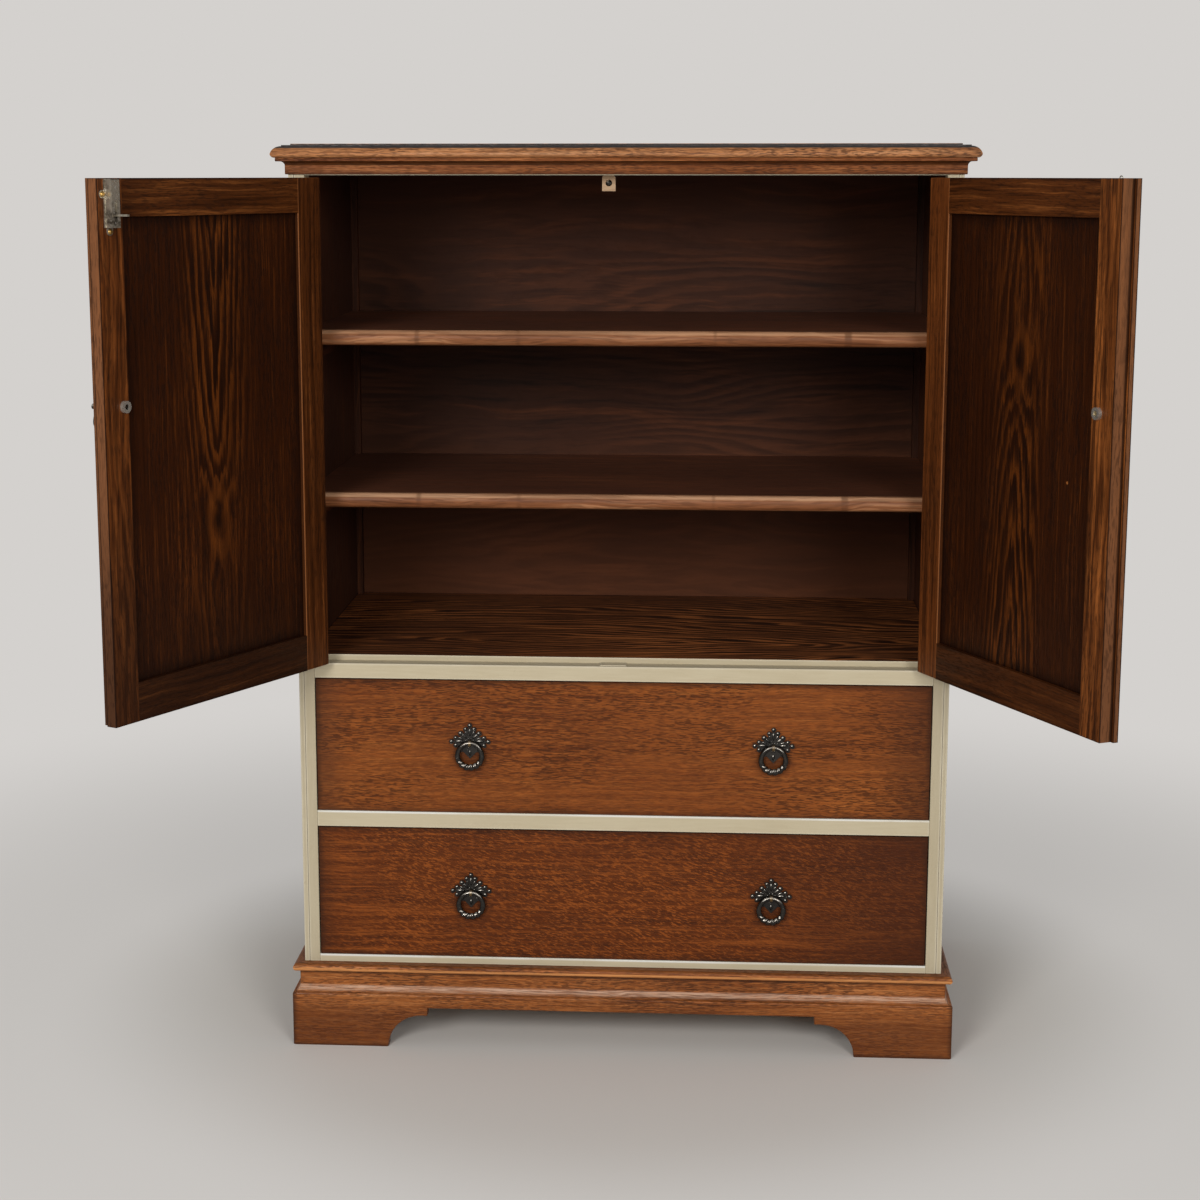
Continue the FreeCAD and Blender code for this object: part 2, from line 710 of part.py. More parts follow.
# hinges: pin proud of the front face, leaves in the gap beside the door
hingeGap = dim("hinge_gap", 2.4)
leafThick = dim("leaf_thickness", 1)
leafWidth = dim("leaf_width", 18)
knuckleRadius = dim("knuckle_radius", 3)
pinRadius = dim("pin_radius", 1.5)
pinFit = dim("pin_fit", 0.05)
pinProud = dim("pin_proud", 3.2)
hingeLong = dim("hinge_length", 60)
hingeInset = dim("hinge_inset", 80)
knuckleGap = dim("knuckle_gap", 0.3)
leafTab = dim("leaf_tab", 1.6)
tabLong = leafTab + dim("leaf_tab_root", 0.5)
pinX = openHalf - hingeGap / 2
pinY = frontY - pinProud
third = hingeLong / 3
frameLeaves = []
doorLeaves = {"l": [], "r": []}
for side in ("l", "r"):
    sx = -pinX if side == "l" else pinX
    for tag, z in (("low", doorZ + hingeInset), ("high", doorTop - hingeInset - hingeLong)):
        key = side + "_" + tag
        fx = -openHalf if side == "l" else openHalf - leafThick
        dx = hingeGap - leafThick - openHalf if side == "l" else openHalf - hingeGap
        plate = box("frame_leaf_" + key, leafThick, leafWidth, hingeLong, fx, frontY, z)
        parts = [plate]
        knuckleLong = third - knuckleGap
        tabY = frontY - leafTab
        for part, kz in (("a", z), ("b", z + third * 2 + knuckleGap)):
            parts.append(cyl("frame_knuckle_%s_%s" % (key, part), knuckleRadius, knuckleLong, sx, pinY, kz))
            parts.append(box("frame_tab_%s_%s" % (key, part), leafThick, tabLong, knuckleLong, fx, tabY, kz))
        whole = fuse("frame_hinge_whole_" + key, *parts)
        bore = cyl("frame_bore_" + key, pinRadius + pinFit, hingeLong + over * 2, sx, pinY, z - over)
        frameLeaves.append(cut("frame_hinge_" + key, whole, bore))
        middle = cyl("door_knuckle_" + key, knuckleRadius, third, sx, pinY, z + third)
        pin = cyl("door_pin_" + key, pinRadius, hingeLong, sx, pinY, z)
        leaf = box("door_leaf_" + key, leafThick, leafWidth, hingeLong, dx, frontY, z)
        tab = box("door_tab_" + key, leafThick, tabLong, third, dx, tabY, z + third)
        doorLeaves[side].append(fuse("door_hinge_" + key, middle, pin, leaf, tab))
node(group("frame_hinges", *frameLeaves), "frame_hinge_leaves")

# doors, made shut and turned open about the pin
leftAngle = dim("left_door_angle", 117.7)
rightAngle = dim("right_door_angle", 115.5)
doorThick = dim("door_thickness", 22)
hingeStile = dim("hinge_stile_width", 46)
meetStile = dim("meeting_stile_width", 41)
topRailWidth = dim("door_top_rail", 44)
lowRailWidth = dim("door_bottom_rail", 47)
leftTip = dim("left_tongue_edge", 1.5)
meetGap = dim("meeting_gap", 2)
lipLong = dim("lip_length", 5)
lipThick = dim("lip_thickness", 6.5)
lipGap = dim("lip_gap", 2)
rebateFit = dim("rebate_fit", 1.5)
grooveDepth = dim("groove_depth", 5)
panelThick = dim("panel_thickness", 6)
panelFront = dim("panel_set_in", 10)
panelFit = dim("panel_fit", 0.2)
hingeEdge = openHalf - hingeGap
doorFace = frontY
grooveY = doorFace + panelFront - panelFit
grooveWide = panelThick + panelFit * 2


def opened(o, side):
    # turn a finished door piece about its pin
    deg = -leftAngle if side == "l" else rightAngle
    px = -pinX if side == "l" else pinX
    turn = FreeCAD.Rotation(FreeCAD.Vector(0, 0, 1), deg.num)
    o.Placement = FreeCAD.Placement(FreeCAD.Vector(0, 0, 0), turn)
    angle = "(" + deg.text + ") * 1 deg"
    xText = px.text
    yText = pinY.text
    backX = "%s - (%s) * cos(%s) + (%s) * sin(%s)" % (xText, xText, angle, yText, angle)
    backY = "%s - (%s) * sin(%s) - (%s) * cos(%s)" % (yText, xText, angle, yText, angle)
    o.setExpression("Placement.Rotation.Angle", angle)
    o.setExpression("Placement.Base.x", backX)
    o.setExpression("Placement.Base.y", backY)
    return o


def doorNode(o, name, side):
    holder = group("turned_" + name, o) if o.TypeId != "Part::Compound" else o
    return node(opened(holder, side), name)


rightMain = leftTip + meetGap
leftInner = leftTip - meetStile
rightInner = rightMain + meetStile

throughHigh = doorHeight + over * 2
throughZ = doorZ - over
leftGrooveX = hingeStile - hingeEdge - grooveDepth
rightGrooveX = hingeEdge - hingeStile

leftHinge = box("left_hs", hingeStile, doorThick, doorHeight, -hingeEdge, doorFace, doorZ)
leftHingeGroove = box("left_hs_g", grooveDepth, grooveWide, throughHigh, leftGrooveX, grooveY, throughZ)
doorNode(cut("left_hs_whole", leftHinge, leftHingeGroove), "left_hinge_stile", "l")
rightHinge = box("right_hs", hingeStile, doorThick, doorHeight, rightGrooveX, doorFace, doorZ)
rightHingeGroove = box("right_hs_g", grooveDepth, grooveWide, throughHigh, rightGrooveX, grooveY, throughZ)
doorNode(cut("right_hs_whole", rightHinge, rightHingeGroove), "right_hinge_stile", "r")

pullZ = doorZ + doorHeight * dim("door_pull_share", 0.59)
leftPullX = dim("left_pull_x", -31.5)
rightPullX = dim("right_pull_x", 31.5)
studRadius = dim("stud_radius", 3)
studFit = dim("stud_fit", 0.3)

leftMeet = box("left_ms", meetStile, doorThick, doorHeight, leftInner, doorFace, doorZ)
leftRebate = box(
    "left_ms_r", lipLong + lipGap + over, lipThick + rebateFit + over, throughHigh,
    rightMain - lipLong - lipGap, doorFace - over, throughZ,
)
studHole = studRadius + studFit
studLong = doorThick + over * 2
leftMeetGroove = box("left_ms_g", grooveDepth, grooveWide, throughHigh, leftInner, grooveY, throughZ)
leftStudHole = cyl("left_ms_h", studHole, studLong, leftPullX, doorFace - over, pullZ, "Y")
doorNode(cut("left_ms_whole", leftMeet, leftRebate, leftMeetGroove, leftStudHole), "left_meeting_stile", "l")
rightMeetMain = box("right_ms", meetStile, doorThick, doorHeight, rightMain, doorFace, doorZ)
rightLip = box("right_ms_l", lipLong + over, lipThick, doorHeight, rightMain - lipLong, doorFace, doorZ)
rightMeetGroove = box(
    "right_ms_g", grooveDepth, grooveWide, throughHigh, rightInner - grooveDepth, grooveY, throughZ,
)
rightStudHole = cyl("right_ms_h", studHole, studLong, rightPullX, doorFace - over, pullZ, "Y")
doorNode(
    cut("right_ms_whole", fuse("right_ms_join", rightMeetMain, rightLip), rightMeetGroove, rightStudHole),
    "right_meeting_stile", "r",
)

tenonFit = dim("tenon_fit", 0.5)
for side, lowX, highX in (
    ("left", hingeStile - hingeEdge, leftInner),
    ("right", rightInner, hingeEdge - hingeStile),
):
    key = side[0]
    rails = []
    for tag, z, height in (("low", doorZ, lowRailWidth), ("top", doorTop - topRailWidth, topRailWidth)):
        main = box("%s_rail_%s" % (side, tag), highX - lowX, doorThick, height, lowX, doorFace, z)
        grooveZ = z + height - grooveDepth if tag == "low" else z
        groove = box(
            "%s_rail_g_%s" % (side, tag), highX - lowX, grooveWide, grooveDepth, lowX, grooveY, grooveZ
        )
        tenonZ = z if tag == "low" else z + grooveDepth
        tenon = box(
            "%s_tenon_%s" % (side, tag), highX - lowX + (grooveDepth - tenonFit) * 2, panelThick,
            height - grooveDepth, lowX - grooveDepth + tenonFit, doorFace + panelFront, tenonZ,
        )
        grooved = cut("%s_rail_cut_%s" % (side, tag), main, groove)
        rails.append(fuse("%s_rail_whole_%s" % (side, tag), grooved, tenon))
    doorNode(group(side + "_rail_pair", *rails), side + "_rails", key)
    inset = grooveDepth - tenonFit
    panel = box(
        side + "_panel_board", highX - lowX + inset * 2, panelThick,
        doorHeight - lowRailWidth - topRailWidth + inset * 2,
        lowX - inset, doorFace + panelFront, doorZ + lowRailWidth - inset,
    )
    doorNode(panel, side + "_panel", key)
    doorNode(group(side + "_hinge_pair", *doorLeaves[key]), side + "_hinge_leaves", key)

# ring pulls: diamond plate with lobed edges and piercings, boss, eye, stud, and a tapered ring
plateHalf = dim("plate_half_width", 28)
plateTall = dim("plate_half_height", 25.5)
plateThick = dim("plate_thickness", 2.5)
plateRise = dim("plate_rise", 1.5)
lobeProud = dim("plate_lobe_proud", 0.8)
tipLobe = dim("plate_tip_lobe", 3.2)
midLobe = dim("plate_mid_lobe", 3.5)
sideLobe = dim("plate_side_lobe", 3.1)
lobeShare = dim("plate_side_lobe_share", 0.23)
fieldShare = dim("plate_field_share", 0.9)
plateToe = dim("plate_toe_rise", 2.2)
pierceRadius = dim("plate_pierce_radius", 1.2)
pierceShare = dim("plate_pierce_share", 0.37)
pierceIn = dim("plate_pierce_in", 0.88)
bossRadius = dim("boss_radius", 7)
bossRise = dim("boss_rise", 1.4)
eyeRadius = dim("eye_radius", 4.4)
eyeThick = dim("eye_thickness", 3.6)
eyeHole = dim("eye_hole_radius", 2.9)
eyeOut = dim("eye_stand_off", 7.5)
ringRadius = dim("ring_radius", 16.8)
ringTop = dim("ring_top_radius", 2.4)
ringLow = dim("ring_low_radius", 4.1)
ringSteps = 8
nutRadius = dim("nut_radius", 7.2)
nutThick = dim("nut_thickness", 4.5)
studEnd = dim("stud_end", 3.5)


# the bottom corner of the diamond is a plain point
toeCorner = 1


def edgePoint(w, t, reachX, reachY, side, share):
    # a point on one of the four edges of a diamond whose middle is at w, t
    ends = [(-1, 0), (0, -1), (1, 0), (0, 1)]
    a = ends[side]
    b = ends[(side + 1) % 4]
    return (
        w + reachX * a[0] * (1 - share) + reachX * b[0] * share,
        t + reachY * a[1] * (1 - share) + reachY * b[1] * share,
    )


def pullPlate(name, x, faceY, z, through):
    # the outline sits in the plate's own corner so that every size is positive
    body = doc.addObject("PartDesign::Body", name + "_plate")
    w = plateHalf
    t = plateTall
    lobeX = plateHalf - tipLobe
    lobeY = plateTall - tipLobe
    field = [edgePoint(w, t, lobeX * fieldShare, lobeY * fieldShare, side, 0) for side in range(4)]
    field[toeCorner] = (w, plateToe)
    base = sketchOf(body, name + "_diamond", field)
    pad = body.newObject("PartDesign::Pad", name + "_pad")
    pad.Profile = base
    pad.setExpression("Length", plateThick.text)
    for kind, share, radius, plain in (
        ("tips", 0, tipLobe, toeCorner),
        ("mids", 0.5, midLobe, None),
        ("nears", lobeShare, sideLobe, toeCorner),
        ("fars", 1 - lobeShare, sideLobe, toeCorner - 1),
    ):
        sides = [side for side in range(4) if side != plain]
        circles = [edgePoint(w, t, lobeX, lobeY, side, share) + (radius,) for side in sides]
        lobes = body.newObject("PartDesign::Pad", "%s_%s_pad" % (name, kind))
        lobes.Profile = circlesOf(body, "%s_%s" % (name, kind), circles)
        lobes.setExpression("Length", (plateThick + lobeProud).text)
    boss = body.newObject("PartDesign::Pad", name + "_boss")
    boss.Profile = circlesOf(body, name + "_boss_circle", [(w, t - plateRise, bossRadius)])
    boss.setExpression("Length", (plateThick + bossRise).text)
    holes = []
    for share, plain in ((pierceShare, toeCorner), (1 - pierceShare, toeCorner - 1)):
        for side in range(4):
            if side != plain:
                spot = edgePoint(w, t, lobeX * pierceIn, lobeY * pierceIn, side, share)
                holes.append(spot + (pierceRadius,))
    pocket = body.newObject("PartDesign::Pocket", name + "_pierced")
    pocket.Profile = circlesOf(body, name + "_holes", holes)
    pocket.Type = 1
    pocket.Reversed = True
    body.Tip = pocket
    body.Placement = FreeCAD.Placement(FreeCAD.Vector(0, 0, 0), intoFront)
    place(body, x - w, faceY, z + plateRise - t)
    eyeY = faceY - eyeOut
    lug = cyl(name + "_lug", eyeRadius, eyeThick, x - eyeThick / 2, eyeY, z, "X")
    hole = cyl(name + "_eye_hole", eyeHole, eyeThick + over * 2, x - eyeThick / 2 - over, eyeY, z, "X")
    stud = cyl(name + "_stud", studRadius, plateThick + through, x, faceY - plateThick, z, "Y")
    return [body, cut(name + "_eye", lug, hole), stud]


def ringOf(name, x, faceY, z):
    # each half is lofted through circles that widen from the eye to the foot of the ring
    halves = []
    for tag, sign in (("a", 1), ("b", -1)):
        sections = []
        for i in range(ringSteps + 1):
            turn = sign * math.pi * i / ringSteps
            share = (1 - math.cos(turn)) / 2
            c = doc.addObject("Part::Circle", "%s_%s%d" % (name, tag, i))
            c.Placement = FreeCAD.Placement(
                FreeCAD.Vector(0, 0, 0), FreeCAD.Rotation(FreeCAD.Vector(0, 1, 0), 90 + math.degrees(turn))
            )
            c.setExpression("Radius", (ringTop + (ringLow - ringTop) * share).text)
            place(c, x + ringRadius * math.sin(turn), faceY - eyeOut, z + ringRadius * (math.cos(turn) - 1))
            sections.append(c)
        loft = doc.addObject("Part::Loft", "%s_%s" % (name, tag))
        loft.Sections = sections
        loft.Solid = True
        loft.Ruled = False
        halves.append(loft)
    return fuse(name, *halves)


for side, x in (("left", leftPullX), ("right", rightPullX)):
    key = side[0]
    pieces = pullPlate(side + "_pull", x, doorFace, pullZ, doorThick + studEnd)
    doorNode(fuse(side + "_pull_whole", *pieces), side + "_pull_plate", key)
    nutBody = cyl(side + "_nut_body", nutRadius, nutThick, x, doorFace + doorThick, pullZ, "Y")
    nutHole = cyl(side + "_nut_hole", studHole, nutThick + over * 2, x, doorFace + doorThick - over, pullZ, "Y")
    doorNode(cut(side + "_nut_cut", nutBody, nutHole), side + "_pull_nut", key)
    doorNode(ringOf(side + "_ring", x, doorFace, pullZ), side + "_pull_ring", key)

# bolt on the left door: box case with round ears, sliding bar with a thumb lever
caseLeft = dim("bolt_case_left", -23.5)
caseWidth = dim("bolt_case_width", 13.5)
caseDepth = dim("bolt_case_depth", 11.5)
caseHigh = doorTop - dim("bolt_case_head_gap", 1)
caseLow = caseHigh - dim("bolt_case_height", 55)
caseWall = dim("bolt_case_wall", 2.2)
barFit = dim("bolt_bar_fit", 0.3)
lugWidth = dim("bolt_lug", 9)
lugThick = dim("bolt_lug_thickness", 1.6)
lugScrewZ = caseLow + dim("bolt_lug_rise", 38)
leverZ = caseLow + dim("bolt_lever_rise", 13)
leverThick = dim("bolt_lever_thickness", 2.4)
leverOut = dim("bolt_lever_reach", 18)
leverWidth = dim("bolt_lever_width", 3.6)
leverNeck = dim("bolt_lever_neck", 3)
boltTravel = dim("bolt_travel", 12)
plateLip = dim("bolt_plate_lip", 1.2)
boltScrewHead = dim("bolt_screw_head", 3.6)
boltScrewTop = boltScrewHead * dim("bolt_screw_top_share", 0.55)
boltScrewHigh = dim("bolt_screw_rise", 2.2)
innerFace = doorFace + doorThick
caseX = caseLeft + caseWidth / 2
caseBlock = box("bolt_block", caseWidth, caseDepth, caseHigh - caseLow, caseLeft, innerFace, caseLow)
caseBore = box(
    "bolt_bore", caseWidth - caseWall * 2, caseDepth - caseWall * 2, caseHigh - caseLow + over * 2,
    caseLeft + caseWall, innerFace + caseWall, caseLow - over,
)
slotLow = leverZ - leverThick
slotTall = boltTravel + leverThick * 3
caseSlot = box(
    "bolt_slot", leverNeck + barFit * 2, caseWall * 2, slotTall, caseX - leverNeck / 2 - barFit,
    innerFace + caseDepth - caseWall - over, slotLow,
)
caseTube = cut("bolt_tube", caseBlock, caseBore, caseSlot)
earRadius = lugWidth / 2
lugs = [
    box(
        "bolt_plate", caseWidth + plateLip * 2, lugThick, caseHigh - caseLow,
        caseLeft - plateLip, innerFace, caseLow,
    ),
    box(
        "bolt_lug_side", caseWidth + lugWidth, lugThick, lugWidth, caseLeft - earRadius, innerFace,
        lugScrewZ - earRadius,
    ),
    box(
        "bolt_lug_foot", lugWidth, lugThick, earRadius + over, caseX - earRadius, innerFace, caseLow - earRadius,
    ),
]
screws = []
for tag, sx, sz in (
    ("a", caseLeft - earRadius, lugScrewZ),
    ("b", caseLeft + caseWidth + earRadius, lugScrewZ),
    ("c", caseX, caseLow - earRadius),
):
    lugs.append(cyl("bolt_ear_" + tag, earRadius, lugThick, sx, innerFace, sz, "Y"))
    screwY = innerFace + lugThick
    screws.append(cone("bolt_screw_" + tag, boltScrewHead, boltScrewTop, boltScrewHigh, sx, screwY, sz, "Y"))
doorNode(fuse("bolt_case_whole", caseTube, *lugs), "left_bolt_case", "l")
doorNode(group("bolt_screw_set", *screws), "left_bolt_screws", "l")
barWide = caseWidth - caseWall * 2 - barFit * 2
barDeep = caseDepth - caseWall * 2 - barFit * 2
bar = box(
    "bolt_bar", barWide, barDeep, caseHigh - caseLow,
    caseLeft + caseWall + barFit, innerFace + caseWall + barFit, caseLow,
)
neck = box(
    "bolt_neck", leverNeck, caseWall + (barFit + over) * 2, leverThick, caseX - leverNeck / 2,
    innerFace + caseDepth - caseWall - barFit - over, leverZ,
)
leverY = innerFace + caseDepth + barFit
lever = box("bolt_lever", leverWidth, leverOut, leverThick, caseX - leverWidth / 2, leverY, leverZ)
doorNode(fuse("bolt_slide_whole", bar, neck, lever), "left_bolt_slide", "l")

# wire loop on the top edge of the right door
wireRadius = dim("wire_radius", 0.6)
wireLoop = dim("wire_loop_radius", 2.5)
wireX = rightMain + dim("wire_from_edge", 4.5)
wireBack = dim("wire_set_back", 21)
wire = doc.addObject("Part::Torus", "wire")
wire.Placement = FreeCAD.Placement(FreeCAD.Vector(0, 0, 0), FreeCAD.Rotation(FreeCAD.Vector(1, 0, 0), 90))
wire.setExpression("Radius1", wireLoop.text)
wire.setExpression("Radius2", wireRadius.text)
wire.Angle3 = 180
place(wire, wireX, doorFace + wireBack, doorTop)
doorNode(wire, "right_wire_loop", "r")

# drawers
drawerGap = dim("drawer_side_gap", 1.5)
drawerSet = dim("drawer_set_in", 1)
drawerFrontThick = dim("drawer_front_thickness", 20)
drawerTopGap = dim("drawer_top_gap", 1.5)
drawerFoot = dim("drawer_foot_gap", 0.5)
boxThick = dim("drawer_side_thickness", 10)
boxHeight = lowerOpening - dim("drawer_side_headroom", 22)
boxDeep = insideDepth - drawerSet - drawerFrontThick - dim("drawer_back_gap", 27)
bottomThick = dim("drawer_bottom_thickness", 5)
bottomRise = dim("drawer_bottom_rise", 8)
bottomIn = dim("drawer_bottom_groove", 5)
bottomFit = dim("drawer_bottom_fit", 0.3)
boxInset = dim("drawer_box_inset", 0.5)
rearDrop = dim("drawer_rear_drop", 8)
drawerPullX = openHalf * dim("drawer_pull_share", 0.4927)
lowPullZ = lowerZ + dim("lower_pull_rise", 93)
highPullZ = upperZ + dim("upper_pull_rise", 98)
for drawer, z, opening, pullHeight in (
    ("upper", upperZ, upperOpening, highPullZ),
    ("lower", lowerZ, lowerOpening, lowPullZ),
):
    faceY = frontY + drawerSet
    backFace = faceY + drawerFrontThick
    wide = (openHalf - drawerGap) * 2
    zFoot = z + drawerFoot
    frontHigh = opening - drawerFoot - drawerTopGap
    front = box(drawer + "_front", wide, drawerFrontThick, frontHigh, drawerGap - openHalf, faceY, zFoot)
    bottomZ = zFoot + bottomRise
    slotZ = bottomZ - bottomFit / 2
    slotHigh = bottomThick + bottomFit
    sideX = openHalf - drawerGap - boxInset
    slot = box(
        drawer + "_slot", (sideX - boxThick + bottomIn) * 2, bottomIn + over, slotHigh,
        boxThick - bottomIn - sideX, backFace - bottomIn - bottomFit, slotZ,
    )
    holeLong = drawerFrontThick + over * 2
    holes = [
        cyl("%s_hole_%s" % (drawer, tag), studHole, holeLong, x, faceY - over, pullHeight, "Y")
        for tag, x in (("l", -drawerPullX), ("r", drawerPullX))
    ]
    node(cut(drawer + "_front_whole", front, slot, *holes), drawer + "_drawer_front")
    sides = []
    for tag in ("l", "r"):
        sx = -sideX if tag == "l" else sideX - boxThick
        gx = boxThick - bottomIn - sideX if tag == "l" else sideX - boxThick - bottomFit
        side = box("%s_side_%s" % (drawer, tag), boxThick, boxDeep, boxHeight, sx, backFace, zFoot)
        groove = box(
            "%s_groove_%s" % (drawer, tag), bottomIn + bottomFit, boxDeep + over * 2, slotHigh,
            gx, backFace - over, slotZ,
        )
        sides.append(cut("%s_side_cut_%s" % (drawer, tag), side, groove))
    rear = box(
        drawer + "_rear", (sideX - boxThick) * 2, boxThick, boxHeight - bottomRise - bottomThick - rearDrop,
        boxThick - sideX, backFace + boxDeep - boxThick, bottomZ + bottomThick + bottomFit,
    )
    node(group(drawer + "_box_set", *sides, rear), drawer + "_drawer_box")
    node(
        box(
            drawer + "_bottom", (sideX - boxThick + bottomIn - bottomFit) * 2, boxDeep + bottomIn, bottomThick,
            boxThick - bottomIn - sideX + bottomFit, backFace - bottomIn, bottomZ,
        ),
        drawer + "_drawer_bottom",
    )
    plates = []
    for tag, x in (("l", -drawerPullX), ("r", drawerPullX)):
        name = "%s_pull_%s" % (drawer, tag)
        pieces = pullPlate(name, x, faceY, pullHeight, drawerFrontThick + nutThick)
        pieces.append(cyl(name + "_nut", nutRadius, nutThick, x, backFace, pullHeight, "Y"))
        plates.append(fuse(name + "_whole", *pieces))
    node(group(drawer + "_plate_set", *plates), drawer + "_pull_plates")
    node(ringOf(drawer + "_ring_l", -drawerPullX, faceY, pullHeight), drawer + "_ring_left")
    node(ringOf(drawer + "_ring_r", drawerPullX, faceY, pullHeight), drawer + "_ring_right")

doc.recompute()
bad = [o.Name for o in doc.Objects if "Invalid" in o.State or "Error" in o.State]
if bad:
    raise SystemExit("objects in error: " + ", ".join(bad))
os.makedirs("parts", exist_ok=True)
for o, name in nodes:
    shape = o.Shape
    if shape.isNull() or not shape.isValid():
        raise SystemExit("bad shape: " + name)
    print(name, len(shape.Solids), round(shape.Volume / 1000.0, 3), [round(v, 1) for v in (
        shape.BoundBox.XMin, shape.BoundBox.XMax, shape.BoundBox.YMin, shape.BoundBox.YMax,
        shape.BoundBox.ZMin, shape.BoundBox.ZMax)])
    shape.exportStep("parts/" + name + ".step")
print("nodes", len(nodes))
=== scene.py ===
import json
from math import atan2, cos, hypot, pi, radians, sin

import bmesh
import bpy
from mathutils import Matrix, Vector


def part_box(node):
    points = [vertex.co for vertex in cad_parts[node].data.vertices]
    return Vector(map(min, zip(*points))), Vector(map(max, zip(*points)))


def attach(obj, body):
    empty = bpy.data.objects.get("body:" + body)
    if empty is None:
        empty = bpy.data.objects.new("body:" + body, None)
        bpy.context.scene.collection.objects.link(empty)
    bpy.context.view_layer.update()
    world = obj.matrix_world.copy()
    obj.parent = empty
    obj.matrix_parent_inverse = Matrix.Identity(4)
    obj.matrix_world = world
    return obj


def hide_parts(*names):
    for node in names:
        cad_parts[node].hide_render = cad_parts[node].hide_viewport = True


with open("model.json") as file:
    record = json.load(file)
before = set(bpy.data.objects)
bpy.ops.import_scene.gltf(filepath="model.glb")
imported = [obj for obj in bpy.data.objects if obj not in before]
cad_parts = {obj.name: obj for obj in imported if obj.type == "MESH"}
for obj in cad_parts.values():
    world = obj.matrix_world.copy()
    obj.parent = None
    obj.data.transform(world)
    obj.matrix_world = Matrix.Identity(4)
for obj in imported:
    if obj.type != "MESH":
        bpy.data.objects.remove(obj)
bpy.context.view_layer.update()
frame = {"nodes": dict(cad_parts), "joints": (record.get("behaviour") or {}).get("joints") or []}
nodes = frame["nodes"]
joints = {joint["name"]: joint for joint in frame["joints"]}


# Node helpers

def tone(red, green, blue):
    return tuple(((c / 255 + 0.055) / 1.055) ** 2.4 for c in (red, green, blue)) + (1.0,)


def put(tree, kind, feeds, **settings):
    made = tree.nodes.new("ShaderNode" + kind)
    for key, value in settings.items():
        setattr(made, key, value)
    for key, value in feeds.items():
        if isinstance(value, bpy.types.NodeSocket):
            tree.links.new(value, made.inputs[key])
        else:
            made.inputs[key].default_value = value
    return made


def calc(tree, operation, *terms):
    return put(tree, "Math", dict(enumerate(terms)), operation=operation).outputs[0]


def vectorCalc(tree, operation, *terms):
    return put(tree, "VectorMath", dict(enumerate(terms)), operation=operation).outputs[0]


def ease(tree, value, low, high, start=0.0, end=1.0):
    feeds = {"Value": value, "From Min": low, "From Max": high, "To Min": start, "To Max": end}
    return put(tree, "MapRange", feeds, interpolation_type="SMOOTHSTEP").outputs[0]


def noise(tree, vector, stretch, detail=2.0, rough=0.5):
    drawn = vectorCalc(tree, "MULTIPLY", vector, stretch)
    feeds = {"Vector": drawn, "Scale": 1.0, "Detail": detail, "Roughness": rough}
    return put(tree, "TexNoise", feeds).outputs[0]


def tint(tree, factor, under, over):
    return put(tree, "Mix", {0: factor, 6: under, 7: over}, data_type="RGBA").outputs[2]


def split(tree, vector):
    return put(tree, "SeparateXYZ", {0: vector}).outputs


def startGroup(name, takes, gives):
    tree = bpy.data.node_groups.new(name, "ShaderNodeTree")
    for label, kind, value in takes:
        socket = tree.interface.new_socket(label, in_out="INPUT", socket_type="NodeSocket" + kind)
        socket.default_value = value
    for label in gives:
        tree.interface.new_socket(label, in_out="OUTPUT", socket_type="NodeSocketFloat")
    return tree, tree.nodes.new("NodeGroupInput").outputs, tree.nodes.new("NodeGroupOutput").inputs


# Shared effects: the figure of a board, and how near a point is to an arris

# how closely each pattern is packed across, through and along the board
weave = {
    "spread": (1.7, 2.3, 3.1), "waver": (6, 6, 3.2), "ripple": (24, 24, 13), "sway": (5, 5, 1.3),
    "wobble": (26, 26, 4.5), "uneven": (34, 34, 1.2), "ragged": (230, 230, 12), "broken": (45, 45, 3.5),
    "fibre": (1.0, 1.0, 0.22), "streak": (0.36, 0.36, 0.06), "crowd": (22, 22, 5),
    "cloud": (4.5, 4.5, 2.4), "patch": (9, 9, 7), "edge": (38, 38, 38),
}
ringShape = {"power": 1.3, "root": 0.77}
knotShape = {"along": 0.42, "ragged": 2.4, "reach": 4.2, "bend": 1.7}
poreWidth = 0.11


